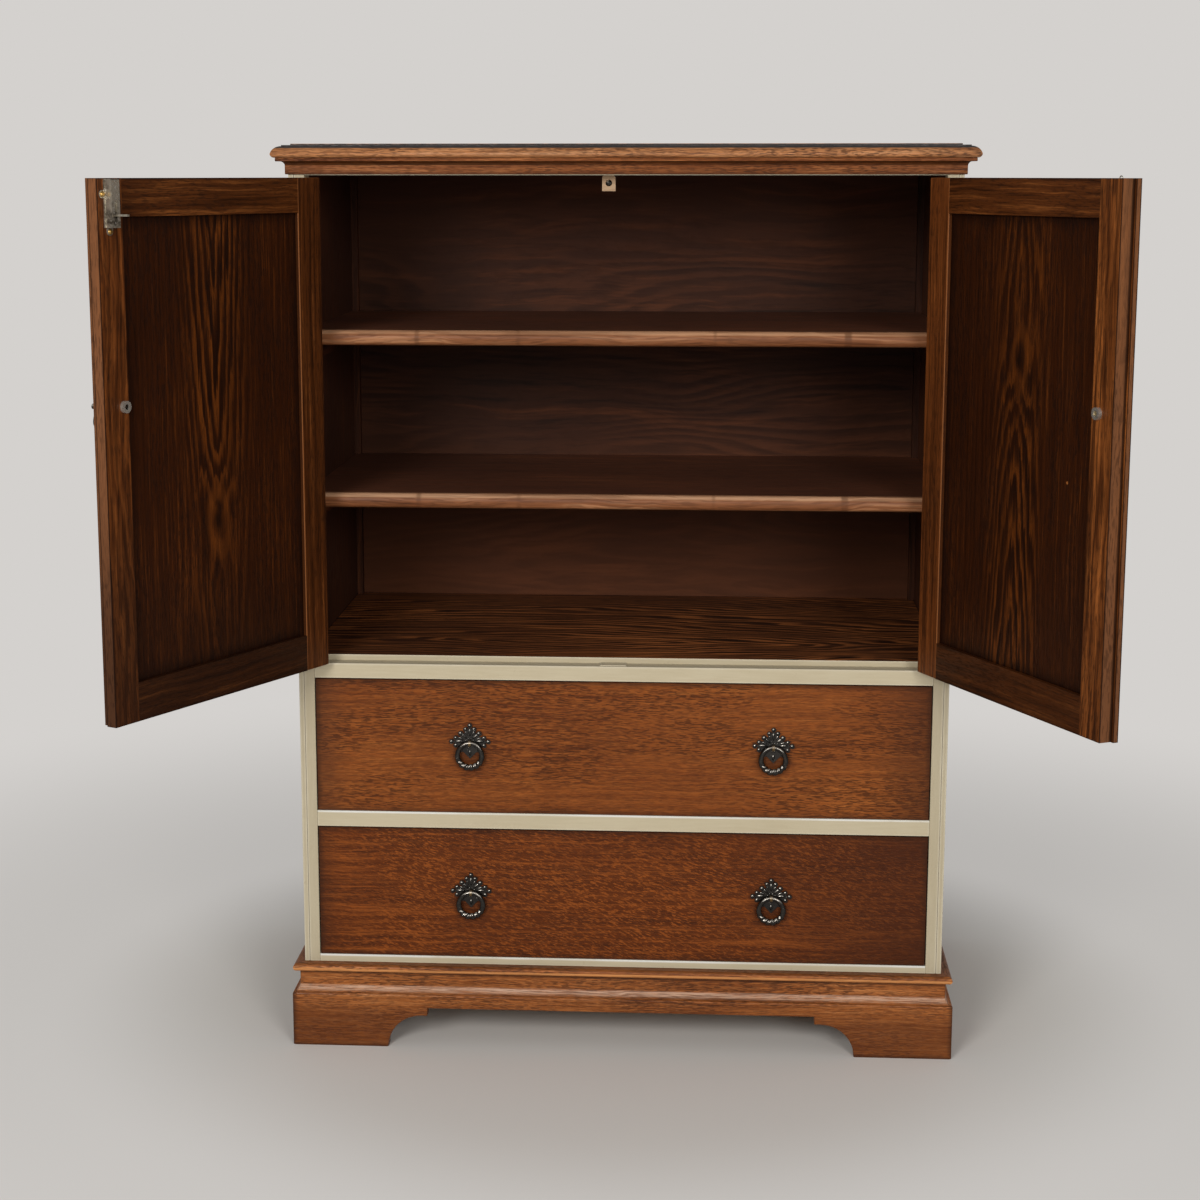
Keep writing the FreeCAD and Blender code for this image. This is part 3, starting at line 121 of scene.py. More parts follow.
def makeFigure():
    zero = (0.0, 0.0, 0.0)
    takes = [("Vector", "Vector", zero), ("Seed", "Float", 0.0), ("Centre", "Float", 0.0)]
    takes += [("Apex", "Float", 0.0), ("Slope", "Float", 0.08), ("Pitch", "Float", 0.01)]
    takes += [("Warp", "Float", 0.01), ("Width", "Float", 0.2), ("Wave", "Float", 0.006)]
    takes += [("Slant", "Float", 0.0), ("Knot", "Vector", zero), ("Knot Size", "Float", 0.0)]
    takes += [("Dash", "Vector", (400.0, 400.0, 60.0)), ("Dab", "Vector", (400.0, 400.0, 110.0))]
    takes += [("Ragged", "Float", 1.0), ("Swirl", "Float", 1.0), ("Open", "Float", 0.51)]
    gives = ["Rings", "Flame", "Fibre", "Streak", "Pores", "Cloud", "Fleck", "Knot", "Eye"]
    tree, take, give = startGroup("oakFigure", takes, gives)
    feeds = {0: weave["spread"], "Scale": take["Seed"]}
    spread = put(tree, "VectorMath", feeds, operation="SCALE").outputs[0]
    moved = vectorCalc(tree, "ADD", take["Vector"], spread)
    # the fibres waver a little along the board
    across, depth, along = split(tree, moved)
    waver = calc(tree, "SUBTRACT", noise(tree, moved, weave["waver"]), 0.5)
    ripple = calc(tree, "SUBTRACT", noise(tree, moved, weave["ripple"]), 0.5)
    waver = calc(tree, "MULTIPLY_ADD", ripple, 0.3, waver)
    wavy = calc(tree, "MULTIPLY_ADD", waver, take["Wave"], across)
    grain = put(tree, "CombineXYZ", {0: wavy, 1: depth, 2: along}).outputs[0]
    # growth rings, drawn out along the board into pointed arches
    sway = calc(tree, "SUBTRACT", noise(tree, moved, weave["sway"]), 0.5)
    wobble = calc(tree, "SUBTRACT", noise(tree, moved, weave["wobble"]), 0.5)
    placed = split(tree, take["Vector"])
    side = calc(tree, "SUBTRACT", placed[0], take["Centre"])
    side = calc(tree, "MULTIPLY_ADD", sway, take["Warp"], side)
    rise = calc(tree, "MULTIPLY", calc(tree, "SUBTRACT", placed[2], take["Apex"]), take["Slope"])
    rise = calc(tree, "MULTIPLY_ADD", wobble, calc(tree, "MULTIPLY", take["Warp"], take["Swirl"]), rise)
    sidePart = calc(tree, "POWER", calc(tree, "ABSOLUTE", side), ringShape["power"])
    risePart = calc(tree, "POWER", calc(tree, "ABSOLUTE", rise), ringShape["power"])
    reach = calc(tree, "POWER", calc(tree, "ADD", sidePart, risePart), ringShape["root"])
    # a knot bends the rings round itself
    knotAt = split(tree, vectorCalc(tree, "SUBTRACT", take["Vector"], take["Knot"]))
    knotAlong = calc(tree, "MULTIPLY", knotAt[2], knotShape["along"])
    apart = calc(tree, "SQRT", calc(tree, "MULTIPLY_ADD", knotAt[0], knotAt[0],
                                    calc(tree, "MULTIPLY", knotAlong, knotAlong)))
    knotWide = calc(tree, "MAXIMUM", take["Knot Size"], 0.0001)
    knotRagged = calc(tree, "MULTIPLY", knotWide, knotShape["ragged"])
    apart = calc(tree, "MULTIPLY_ADD", wobble, knotRagged, apart)
    share = calc(tree, "DIVIDE", apart, knotWide)
    bend = ease(tree, share, 0.0, knotShape["reach"], knotShape["bend"], 0.0)
    turns = calc(tree, "ADD", calc(tree, "DIVIDE", reach, take["Pitch"]), bend)
    uneven = calc(tree, "SUBTRACT", noise(tree, grain, weave["uneven"]), 0.5)
    ragged = calc(tree, "SUBTRACT", noise(tree, grain, weave["ragged"]), 0.5)
    ragged = calc(tree, "MULTIPLY_ADD", uneven, 2.2, ragged)
    turns = calc(tree, "MULTIPLY_ADD", ragged, take["Ragged"], turns)
    saw = calc(tree, "FRACT", turns)
    width = calc(tree, "DIVIDE", calc(tree, "ABSOLUTE", side), take["Width"])
    zone = ease(tree, width, 0.3, 1.0, 1.0, 0.0)
    broken = ease(tree, noise(tree, grain, weave["broken"]), 0.3, 0.6, 0.4, 1.0)
    rings = calc(tree, "MULTIPLY", ease(tree, saw, 0.42, 0.84), ease(tree, saw, 0.92, 1.0, 1.0, 0.0))
    rings = calc(tree, "MULTIPLY", rings, calc(tree, "MULTIPLY_ADD", zone, 0.7, 0.3))
    tree.links.new(calc(tree, "MULTIPLY", rings, broken), give["Rings"])
    flame = calc(tree, "MULTIPLY", ease(tree, saw, 0.0, 0.1), ease(tree, saw, 0.25, 0.6, 1.0, 0.0))
    tree.links.new(calc(tree, "MULTIPLY", calc(tree, "MULTIPLY", flame, zone), broken), give["Flame"])
    drawn = vectorCalc(tree, "MULTIPLY", take["Dash"], weave["fibre"])
    tree.links.new(noise(tree, grain, drawn, 3.0, 0.65), give["Fibre"])
    drawn = vectorCalc(tree, "MULTIPLY", take["Dash"], weave["streak"])
    tree.links.new(noise(tree, grain, drawn, 3.0, 0.65), give["Streak"])
    fullyOpen = calc(tree, "ADD", take["Open"], poreWidth)
    dashes = ease(tree, noise(tree, grain, take["Dash"], 1.0), take["Open"], fullyOpen)
    crowd = ease(tree, noise(tree, grain, weave["crowd"]), 0.36, 0.6, 0.45, 1.0)
    tree.links.new(calc(tree, "MULTIPLY", dashes, crowd), give["Pores"])
    tree.links.new(noise(tree, moved, weave["cloud"], 3.0, 0.55), give["Cloud"])
    leaning = calc(tree, "MULTIPLY_ADD", along, take["Slant"], wavy)
    leaned = put(tree, "CombineXYZ", {0: leaning, 1: depth, 2: along}).outputs[0]
    dabs = ease(tree, noise(tree, leaned, take["Dab"], 2.0, 0.55), 0.5, 0.62)
    patch = ease(tree, noise(tree, moved, weave["patch"]), 0.34, 0.62, 0.35, 1.0)
    tree.links.new(calc(tree, "MULTIPLY", dabs, patch), give["Fleck"])
    tree.links.new(ease(tree, share, 0.3, 1.1, 1.0, 0.0), give["Knot"])
    halo = calc(tree, "MULTIPLY", ease(tree, share, 0.9, 1.3), ease(tree, share, 1.5, 2.1, 1.0, 0.0))
    tree.links.new(calc(tree, "MULTIPLY", halo, broken), give["Eye"])
    return tree


def makeArris():
    zero = (0.0, 0.0, 0.0)
    takes = [("Vector", "Vector", zero), ("Low", "Vector", zero), ("High", "Vector", zero)]
    takes += [("Reach", "Float", 0.01), ("Ragged", "Float", 0.004)]
    tree, take, give = startGroup("arrisNear", takes, ["Mask"])
    fromLow = vectorCalc(tree, "SUBTRACT", take["Vector"], take["Low"])
    fromHigh = vectorCalc(tree, "SUBTRACT", take["High"], take["Vector"])
    x, y, z = split(tree, vectorCalc(tree, "MINIMUM", fromLow, fromHigh))
    # the middle of the three distances is the one to the nearest arris
    lesser = calc(tree, "MINIMUM", x, y)
    greater = calc(tree, "MAXIMUM", x, y)
    middle = calc(tree, "MAXIMUM", lesser, calc(tree, "MINIMUM", greater, z))
    uneven = calc(tree, "SUBTRACT", noise(tree, take["Vector"], weave["edge"], 3.0, 0.6), 0.5)
    middle = calc(tree, "MULTIPLY_ADD", uneven, take["Ragged"], middle)
    tree.links.new(ease(tree, middle, 0.0, take["Reach"], 1.0, 0.0), give["Mask"])
    return tree


figureGroup = makeFigure()
arrisGroup = makeArris()


# Coats: each gives a colour, a roughness and a height

lacquerRough = 0.16


def startMaterial(name):
    material = bpy.data.materials.new(name)
    material.use_nodes = True
    tree = material.node_tree
    tree.nodes.clear()
    return material, tree


def closeMaterial(tree, colour, rough, height, depth, gloss=0.5, metallic=0.0, coat=0.0):
    bump = put(tree, "Bump", {"Height": height, "Distance": depth, "Strength": 1.0}).outputs[0]
    feeds = {"Base Color": colour, "Roughness": rough, "Normal": bump, "Metallic": metallic}
    feeds["Specular IOR Level"] = gloss
    feeds["Coat Weight"] = coat
    feeds["Coat Roughness"] = lacquerRough
    shader = put(tree, "BsdfPrincipled", feeds)
    put(tree, "OutputMaterial", {"Surface": shader.outputs[0]})


def pointOf(tree, shut=None):
    point = put(tree, "TexCoord", {}).outputs["Object"]
    if shut is None:
        return point
    angle, pin = shut
    back = pin - Matrix.Rotation(angle, 3, "Z") @ pin
    feeds = {"Vector": point, "Location": back, "Rotation": (0.0, 0.0, angle)}
    return put(tree, "Mapping", feeds, vector_type="POINT").outputs[0]


def arrisMask(tree, point, box, reach, ragged):
    made = put(tree, "Group", {}, node_tree=arrisGroup)
    tree.links.new(point, made.inputs["Vector"])
    for key, value in (("Low", box[0]), ("High", box[1]), ("Reach", reach), ("Ragged", ragged)):
        made.inputs[key].default_value = value
    return made.outputs["Mask"]


grainOrder = {"xy": (2, 1, 0), "xz": (1, 2, 0), "zy": (0, 1, 2), "zx": (1, 0, 2), "yx": (2, 0, 1)}


def bandMask(tree, parts, band, uneven):
    place = parts[band["axis"]]
    soft = band["soft"]
    into = ease(tree, place, band["low"] - soft, band["low"] + soft)
    outOf = ease(tree, place, band["high"] - soft, band["high"] + soft, 1.0, 0.0)
    least = band["amount"] * band.get("speck", 0.5)
    strength = ease(tree, uneven, 0.4, 0.6, least, band["amount"])
    return calc(tree, "MULTIPLY", calc(tree, "MULTIPLY", into, outOf), strength)


plainFigure = {"Centre": 0.0, "Apex": -1.2, "Slope": 0.03, "Pitch": 0.011, "Warp": 0.05}
bodyShares = {"streak": 0.4, "cloud": 0.3, "fibre": 0.3}
knotTints = {"eye": 0.24, "heart": 0.85}
lineTint = 0.85


def woodCoat(tree, point, look, grain, box, seed, figure=None, edge=None):
    parts = split(tree, point)
    order = grainOrder[grain]
    plank = put(tree, "CombineXYZ", {i: parts[order[i]] for i in range(3)}).outputs[0]
    made = put(tree, "Group", {}, node_tree=figureGroup)
    tree.links.new(plank, made.inputs["Vector"])
    made.inputs["Seed"].default_value = seed
    given = dict(plainFigure, **look["figure"])
    given.update(figure or {})
    for key, value in given.items():
        made.inputs[key].default_value = value
    out = made.outputs
    body = calc(tree, "MULTIPLY", out["Cloud"], bodyShares["cloud"])
    body = calc(tree, "MULTIPLY_ADD", out["Streak"], bodyShares["streak"], body)
    body = calc(tree, "MULTIPLY_ADD", out["Fibre"], bodyShares["fibre"], body)
    low, middle, high = look["spread"]
    colour = tint(tree, ease(tree, body, low, middle), look["deep"], look["body"])
    colour = tint(tree, ease(tree, body, middle, high), colour, look["glow"])
    strength = ease(tree, out["Cloud"], 0.4, 0.58, look["calm"], 1.0)
    if "strong" in look:
        axis, start, end, least = look["strong"]
        strength = calc(tree, "MULTIPLY", strength, ease(tree, parts[axis], start, end, least, 1.0))
    flame = calc(tree, "MULTIPLY", calc(tree, "MULTIPLY", out["Flame"], look["flame"]), strength)
    colour = tint(tree, flame, colour, look["glow"])
    rings = calc(tree, "MULTIPLY", calc(tree, "MULTIPLY", out["Rings"], look["rings"]), strength)
    colour = tint(tree, rings, colour, look["dark"])
    fibre = calc(tree, "MULTIPLY", ease(tree, out["Fibre"], 0.48, 0.68), look["fibre"])
    colour = tint(tree, fibre, colour, look["dark"])
    if edge:
        colour = tint(tree, edge, colour, look["edgeTone"])
    flecked = calc(tree, "MULTIPLY", out["Fleck"], look["fleck"])
    colour = tint(tree, flecked, colour, look["glow"])
    pored = calc(tree, "MULTIPLY", out["Pores"], look["pores"])
    colour = tint(tree, pored, colour, look["dark"])
    colour = tint(tree, calc(tree, "MULTIPLY", out["Eye"], knotTints["eye"]), colour, look["glow"])
    colour = tint(tree, calc(tree, "MULTIPLY", out["Knot"], knotTints["heart"]), colour, look["dark"])
    for place, reach, shade, amount in look.get("spots", []):
        apart = put(tree, "VectorMath", {0: point, 1: place}, operation="DISTANCE").outputs["Value"]
        colour = tint(tree, ease(tree, apart, reach * 0.4, reach, amount, 0.0), colour, shade)
    for axis, start, end, amount, shade in look.get("fades", []):
        faded = ease(tree, parts[axis], start, end, 0.0, amount)
        colour = tint(tree, faded, colour, shade)
    for x, y, reach in look.get("lines", []):
        # an upright line along an arris
        flat = put(tree, "CombineXYZ", {0: parts[0], 1: parts[1]}).outputs[0]
        apart = put(tree, "VectorMath", {0: flat, 1: (x, y, 0.0)}, operation="DISTANCE").outputs["Value"]
        colour = tint(tree, ease(tree, apart, reach * 0.3, reach, lineTint, 0.0), colour, look["rimTone"])
    for band in look.get("bands", []):
        uneven = out["Fibre"] if "speck" in band else out["Streak"]
        colour = tint(tree, bandMask(tree, parts, band, uneven), colour, band["tone"])
    if box:
        rim = arrisMask(tree, point, box, look["rimReach"], look["rimReach"] * 0.9)
        colour = tint(tree, calc(tree, "MULTIPLY", rim, look["rim"]), colour, look["rimTone"])
    rough = ease(tree, calc(tree, "ADD", body, pored), 0.25, 1.1, look["rough"] - 0.07, look["rough"] + 0.14)
    height = calc(tree, "SUBTRACT", calc(tree, "MULTIPLY", out["Fibre"], 0.5), pored)
    return colour, rough, height


paintWeave = {"cloud": (7, 7, 7), "chips": (90, 90, 90)}


def paintCoat(tree, point, look, box):
    brushed = noise(tree, point, look["brush"], 3.0, 0.6)
    cloud = noise(tree, point, paintWeave["cloud"], 3.0, 0.6)
    body = calc(tree, "MULTIPLY_ADD", brushed, 0.5, calc(tree, "MULTIPLY", cloud, 0.5))
    colour = tint(tree, ease(tree, body, 0.34, 0.66), look["shade"], look["body"])
    rim = arrisMask(tree, point, box, look["rimReach"], look["rimReach"] * 0.8)
    colour = tint(tree, calc(tree, "MULTIPLY", rim, look["rim"]), colour, look["rimTone"])
    for band in look["bands"]:
        colour = tint(tree, bandMask(tree, split(tree, point), band, cloud), colour, band["tone"])
    worn = ease(tree, noise(tree, point, paintWeave["chips"], 4.0, 0.7), 0.68, 0.76)
    colour = tint(tree, calc(tree, "MULTIPLY", worn, look["worn"]), colour, look["under"])
    rough = ease(tree, cloud, 0.3, 0.7, look["rough"] - 0.05, look["rough"] + 0.07)
    return colour, rough, brushed


creamLook = {
    "body": tone(200, 189, 162), "shade": tone(193, 181, 153), "rimTone": tone(222, 215, 194),
    "under": tone(150, 126, 92), "rim": 0.5, "rimReach": 0.003, "worn": 0.3, "rough": 0.5,
    "depth": 0.00008, "gloss": 0.3,
}
stileLook = dict(creamLook, body=tone(191, 180, 154), shade=tone(184, 172, 145))

# the rim darkens each drawer front towards its arrises: partly dirt, partly painted shade in the gap round
# the drawer
drawerLook = {
    "deep": tone(102, 49, 16), "body": tone(138, 74, 28), "glow": tone(178, 105, 46), "dark": tone(56, 26, 8),
    "spread": (0.36, 0.5, 0.65), "rings": 0.16, "flame": 0.0, "calm": 1.0, "fibre": 0.36, "fleck": 0.3,
    "pores": 0.7, "rim": 0.55, "rimReach": 0.009, "rimTone": tone(50, 26, 12), "rough": 0.44,
    "depth": 0.0002, "gloss": 0.14, "figure": {"Wave": 0.022, "Width": 1.5, "Dash": (860.0, 860.0, 96.0),
                                               "Dab": (760.0, 760.0, 80.0), "Open": 0.47},
    "fades": [(0, -0.36, -0.415, 0.55, tone(62, 36, 24)), (0, 0.32, 0.415, 0.6, tone(62, 31, 15))],
}
lowerDrawerLook = dict(
    drawerLook, deep=tone(75, 34, 9), body=tone(98, 46, 13), glow=tone(156, 83, 30), dark=tone(42, 19, 6),
    fleck=0.75, pores=0.45, fades=[(0, 0.1, 0.41, 0.65, tone(60, 27, 11)),
                                   (0, -0.38, -0.415, 0.5, tone(56, 30, 16))],
    figure={"Wave": 0.022, "Width": 1.5, "Slant": 0.32, "Dash": (860.0, 860.0, 96.0),
            "Dab": (600.0, 600.0, 150.0), "Open": 0.48})
caseLook = dict(
    drawerLook, deep=tone(112, 63, 32), body=tone(158, 101, 60), glow=tone(196, 138, 92),
    dark=tone(62, 32, 14), spread=(0.41, 0.5, 0.59), rim=0.0, rings=0.3, fleck=0.2, pores=0.8, rough=0.36,
    gloss=0.3, fades=[])
# the top board is a lighter copy of the case oak: painted sheen from light above; its second band is a
# painted shadow under the nose
topLook = dict(
    caseLook, deep=tone(134, 79, 42), body=tone(192, 129, 81), glow=tone(212, 152, 104),
    bands=[{"axis": 2, "low": 1.2144, "high": 1.2196, "soft": 0.0003, "amount": 0.97, "speck": 1.0,
            "tone": tone(46, 43, 44)},
           {"axis": 2, "low": 1.1975, "high": 1.2, "soft": 0.0008, "amount": 0.6, "tone": tone(66, 34, 15)}])
# the cove is a darker copy of the case oak, partly painted shade; its first band is a painted shadow under
# the bead, its second darkens the foot of the fascia
coveLook = dict(
    caseLook, deep=tone(88, 44, 18), body=tone(130, 73, 34), glow=tone(176, 112, 64),
    dark=tone(48, 23, 9), gloss=0.1,
    bands=[{"axis": 2, "low": 1.1925, "high": 1.1978, "soft": 0.0006, "amount": 0.75,
            "tone": tone(40, 19, 8)},
           {"axis": 2, "low": 1.1805, "high": 1.1835, "soft": 0.001, "amount": 0.65,
            "tone": tone(60, 30, 13)}])
# on the plinth the first band is a painted highlight on the concave shoulder, the second a painted shadow
# under the nosing
plinthLook = dict(
    drawerLook, deep=tone(110, 58, 24), body=tone(160, 93, 44), glow=tone(200, 130, 74),
    dark=tone(58, 28, 11), spread=(0.41, 0.5, 0.59), rim=0.6, rimReach=0.007, rimTone=tone(44, 22, 10),
    fleck=0.35, pores=0.7, rough=0.36, gloss=0.2,
    fades=[(2, 0.072, 0.04, 0.66, tone(94, 46, 15)), (0, -0.44, -0.456, 0.5, tone(60, 29, 11))],
    bands=[{"axis": 2, "low": 0.077, "high": 0.084, "soft": 0.002, "amount": 0.9, "speck": 0.25,
            "tone": tone(210, 172, 146)},
           {"axis": 2, "low": 0.1, "high": 0.106, "soft": 0.0015, "amount": 0.75, "tone": tone(46, 22, 9)}])
# the nosing's first band is a painted highlight along its round
nosingLook = dict(
    plinthLook, fades=[], rim=0.0,
    bands=[{"axis": 2, "low": 0.1062, "high": 0.11, "soft": 0.001, "amount": 0.85, "speck": 0.6,
            "tone": tone(226, 158, 98)},
           {"axis": 2, "low": 0.1132, "high": 0.117, "soft": 0.0008, "amount": 0.5,
            "tone": tone(66, 35, 16)}])
# the rim darkens each panel towards the frame: painted shade in the recess
doorLook = {
    "deep": tone(31, 13, 3), "body": tone(54, 24, 7), "glow": tone(132, 70, 22), "dark": tone(15, 6, 2),
    "spread": (0.32, 0.5, 0.74), "rings": 0.9, "flame": 0.65, "calm": 0.65, "fibre": 0.35, "fleck": 0.0,
    "pores": 0.5, "rim": 0.75, "rimReach": 0.026, "rimTone": tone(22, 9, 3), "rough": 0.45,
    "depth": 0.0002, "gloss": 0.1, "figure": {"Wave": 0.012, "Width": 0.075, "Dash": (640.0, 640.0, 84.0),
                                              "Open": 0.48},
}
frameLook = dict(
    doorLook, deep=tone(50, 24, 8), body=tone(88, 46, 18), glow=tone(150, 88, 41), dark=tone(22, 10, 4),
    spread=(0.39, 0.5, 0.62), rings=0.6, flame=0.25, rim=0.55, rimReach=0.004, pores=0.45,
    figure={"Wave": 0.02, "Width": 0.3, "Dash": (520.0, 520.0, 70.0)})
insideLook = {
    "deep": tone(48, 26, 16), "body": tone(80, 45, 29), "glow": tone(134, 77, 44), "dark": tone(27, 14, 9),
    "spread": (0.34, 0.5, 0.68), "rings": 0.4, "flame": 0.25, "calm": 0.25, "fibre": 0.2, "fleck": 0.0,
    "pores": 0.2, "rim": 0.0, "rimReach": 0.01, "rimTone": tone(20, 12, 8), "rough": 0.55,
    "depth": 0.0002, "gloss": 0.1, "figure": {"Wave": 0.05, "Width": 0.8, "Dash": (330.0, 330.0, 40.0),
                                              "Swirl": 0.3, "Ragged": 0.3},
}
# on the back the first fade is a painted shadow on the left, the second painted light towards the top, the
# third painted light towards the bottom
backLook = dict(
    insideLook, deep=tone(42, 23, 14), body=tone(64, 36, 23), glow=tone(98, 56, 34), spread=(0.36, 0.5, 0.66),
    rings=0.3, flame=0.4, calm=0.0, fibre=0.12, pores=0.1,
    fades=[(0, -0.1, -0.4, 0.4, tone(32, 17, 11)), (2, 0.98, 1.16, 0.3, tone(92, 52, 33)),
           (2, 0.84, 0.62, 0.45, tone(104, 60, 36))],
    figure={"Wave": 0.05, "Width": 0.9, "Dash": (170.0, 170.0, 60.0), "Swirl": 0.22, "Ragged": 0.16})
# on the lippings the first two bands are painted highlights along the top of each rounded front, the next two
# painted shade along the bottom; the last four are joints
lippingLook = dict(
    insideLook, deep=tone(96, 54, 28), body=tone(136, 84, 51), glow=tone(180, 126, 88), dark=tone(60, 32, 16),
    spread=(0.4, 0.5, 0.6), rings=0.25, fibre=0.4, pores=0.35, rough=0.45, gloss=0.22,
    bands=[{"axis": 2, "low": 0.973, "high": 0.978, "soft": 0.0012, "amount": 0.55,
            "tone": tone(214, 168, 132)},
           {"axis": 2, "low": 0.7552, "high": 0.7602, "soft": 0.0012, "amount": 0.6,
            "tone": tone(222, 178, 142)},
           {"axis": 2, "low": 0.95, "high": 0.9594, "soft": 0.0015, "amount": 0.6, "tone": tone(70, 38, 20)},
           {"axis": 2, "low": 0.73, "high": 0.7418, "soft": 0.0015, "amount": 0.6, "tone": tone(70, 38, 20)},
           {"axis": 0, "low": -0.277, "high": -0.271, "soft": 0.002, "amount": 0.5, "tone": tone(82, 46, 24)},
           {"axis": 0, "low": -0.142, "high": -0.137, "soft": 0.002, "amount": 0.4, "tone": tone(90, 52, 28)},
           {"axis": 0, "low": 0.118, "high": 0.122, "soft": 0.002, "amount": 0.4, "tone": tone(90, 52, 28)},
           {"axis": 0, "low": 0.289, "high": 0.298, "soft": 0.002, "amount": 0.6, "tone": tone(76, 42, 22)}])
floorBoardLook = dict(
    insideLook, deep=tone(50, 27, 14), body=tone(82, 45, 24), glow=tone(196, 118, 62), rings=0.8,
    flame=0.85, calm=0.5, fibre=0.35, pores=0.3)
paleLook = dict(
    insideLook, deep=tone(164, 132, 102), body=tone(190, 160, 128), glow=tone(206, 180, 148),
    dark=tone(112, 80, 54), rings=0.25, fibre=0.3, rough=0.6, gloss=0.3)


def shaded(look, gain):
    changed = dict(look)
    for key in ("deep", "body", "glow", "dark"):
        changed[key] = tuple(c * gain for c in look[key][:3]) + (1.0,)
    return changed


def shutTurn(side):
    joint = joints[side + "_door_hinge"]
    return radians(joint["range_deg"][0] * joint["axis"][2]), Vector(joint["pos_m"])


def boxOf(name, shut=None):
    if shut is None:
        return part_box(name)
    angle, pin = shut
    turn = Matrix.Rotation(angle, 3, "Z")
    points = [turn @ (v.co - pin) + pin for v in nodes[name].data.vertices]
    return tuple(Vector([pick(p[i] for p in points) for i in range(3)]) for pick in (min, max))


def wear(name, material):
    nodes[name].data.materials.clear()
    nodes[name].data.materials.append(material)


edgeStainAndShade = {"start": 0.5, "end": 0.95, "amount": 0.78}


def edgeFace(tree, shut):
    # the narrow faces that look along the shut door get their own tone: on the free edges a lighter one,
    # partly less stain and partly painted light; on the hinge stiles a darker one, painted shade beside the
    # panel; on the rails a darker one
    normal = put(tree, "TexCoord", {}).outputs["Normal"]
    feeds = {"Vector": normal, "Rotation": (0.0, 0.0, shut[0])}
    turned = put(tree, "Mapping", feeds, vector_type="VECTOR").outputs[0]
    along = calc(tree, "ABSOLUTE", split(tree, turned)[0])
    return ease(tree, along, edgeStainAndShade["start"], edgeStainAndShade["end"], 0.0, edgeStainAndShade["amount"])


def woodNode(name, look, grain, seed, figure=None, shut=None, rim=True):
    material, tree = startMaterial(name + "_wood")
    point = pointOf(tree, shut)
    box = boxOf(name, shut) if rim else None
    edge = edgeFace(tree, shut) if "edgeTone" in look else None
    colour, rough, height = woodCoat(tree, point, look, grain, box, seed, figure, edge)
    closeMaterial(tree, colour, rough, height, look["depth"], look["gloss"])
    wear(name, material)


alongX = (20, 300, 300)
alongZ = (300, 300, 20)


def creamNode(name, brush, bare=None, inside=None, bands=(), coat=creamLook):
    material, tree = startMaterial(name + "_paint")
    point = pointOf(tree)
    look = dict(coat, brush=brush, bands=bands)
    colour, rough, height = paintCoat(tree, point, look, boxOf(name))
    if bare:
        # the unpainted faces: axis, where the paint starts and ends
        axis, start, end = bare
        place = calc(tree, "ABSOLUTE", split(tree, point)[axis])
        mask = ease(tree, place, start, end)
        woodLook, grain, seed, figure = inside
        under = woodCoat(tree, point, woodLook, grain, None, seed, figure)
        colour = tint(tree, mask, under[0], colour)
        rough = calc(tree, "ADD", calc(tree, "MULTIPLY", mask, rough),
                     calc(tree, "MULTIPLY", calc(tree, "SUBTRACT", 1.0, mask), under[1]))
    closeMaterial(tree, colour, rough, height, look["depth"], look["gloss"])
    wear(name, material)


# Carcass

for name in ("head_rail", "door_rail", "keep_plate"):
    creamNode(name, alongX)
for name in ("drawer_rail", "bottom_rail"):
    top = boxOf(name)[1].z
    lit = dict(axis=2, low=top - 0.0024, high=top + 0.001, soft=0.0006, amount=0.9, tone=tone(232, 233, 228))
    creamNode(name, alongX, bands=[lit])
creamNode("front_stiles", alongZ, coat=stileLook)
sideBare = (0, 0.4271, 0.4275)
floorBare = (1, 0.4462, 0.4468)
sideFigure = {"Centre": 0.1, "Apex": -0.8, "Slope": 0.05, "Pitch": 0.014}
# the insides of the sides are the inside oak at two brightnesses, the left one darker: painted shade
for name, seed, gain in (("side_panel_left", 3.0, 0.66), ("side_panel_right", 4.0, 0.84)):
    inner = (shaded(insideLook, gain), "zx", seed, sideFigure)
    creamNode(name, alongZ, sideBare, inner, coat=stileLook)
floorFigure = {"Centre": -0.34, "Apex": -0.1, "Slope": 0.16, "Pitch": 0.014, "Warp": 0.2, "Swirl": 0.3,
               "Knot": (-0.425, 0.0, 0.3), "Knot Size": 0.012}
creamNode("cupboard_floor", alongX, floorBare, (floorBoardLook, "xz", 6.0, floorFigure))

backFigure = {"Centre": 0.56, "Apex": 0.5, "Slope": 0.06, "Pitch": 0.019, "Warp": 0.34}
woodNode("back_panel", backLook, "xy", 1.0, backFigure)
woodNode("back_battens", shaded(insideLook, 0.6), "zy", 2.0)
woodNode("inner_top_rail", insideLook, "xy", 5.0)
shelfLook = dict(shaded(insideLook, 1.4), gloss=0.4)
woodNode("shelves", shelfLook, "xz", 7.0, {"Centre": -0.1, "Apex": -0.9, "Slope": 0.05, "Ragged": 0.6})
woodNode("shelf_lippings", lippingLook, "xy", 8.0)
woodNode("shelf_bearers", insideLook, "yx", 9.0)
woodNode("drawer_runners", insideLook, "yx", 10.0)
woodNode("plinth_back", insideLook, "xy", 11.0)
woodNode("plinth_blocks", insideLook, "zy", 12.0)
woodNode("stop_block", paleLook, "xy", 13.0)

woodNode("top_board", topLook, "xz", 14.0, {"Centre": 0.1, "Apex": -0.7, "Slope": 0.06, "Pitch": 0.016})
woodNode("cornice_front", coveLook, "xy", 15.0)
woodNode("cornice_returns", coveLook, "yx", 16.0)
woodNode("plinth_front", plinthLook, "xy", 17.0)
woodNode("plinth_sides", plinthLook, "yx", 18.0)
for name, grain, seed in (("nosing_front", "xy", 19.0), ("nosing_returns", "yx", 20.0)):
    woodNode(name, shaded(nosingLook, 1.12), grain, seed, rim=False)
print("carcass dressed")


# Drawers

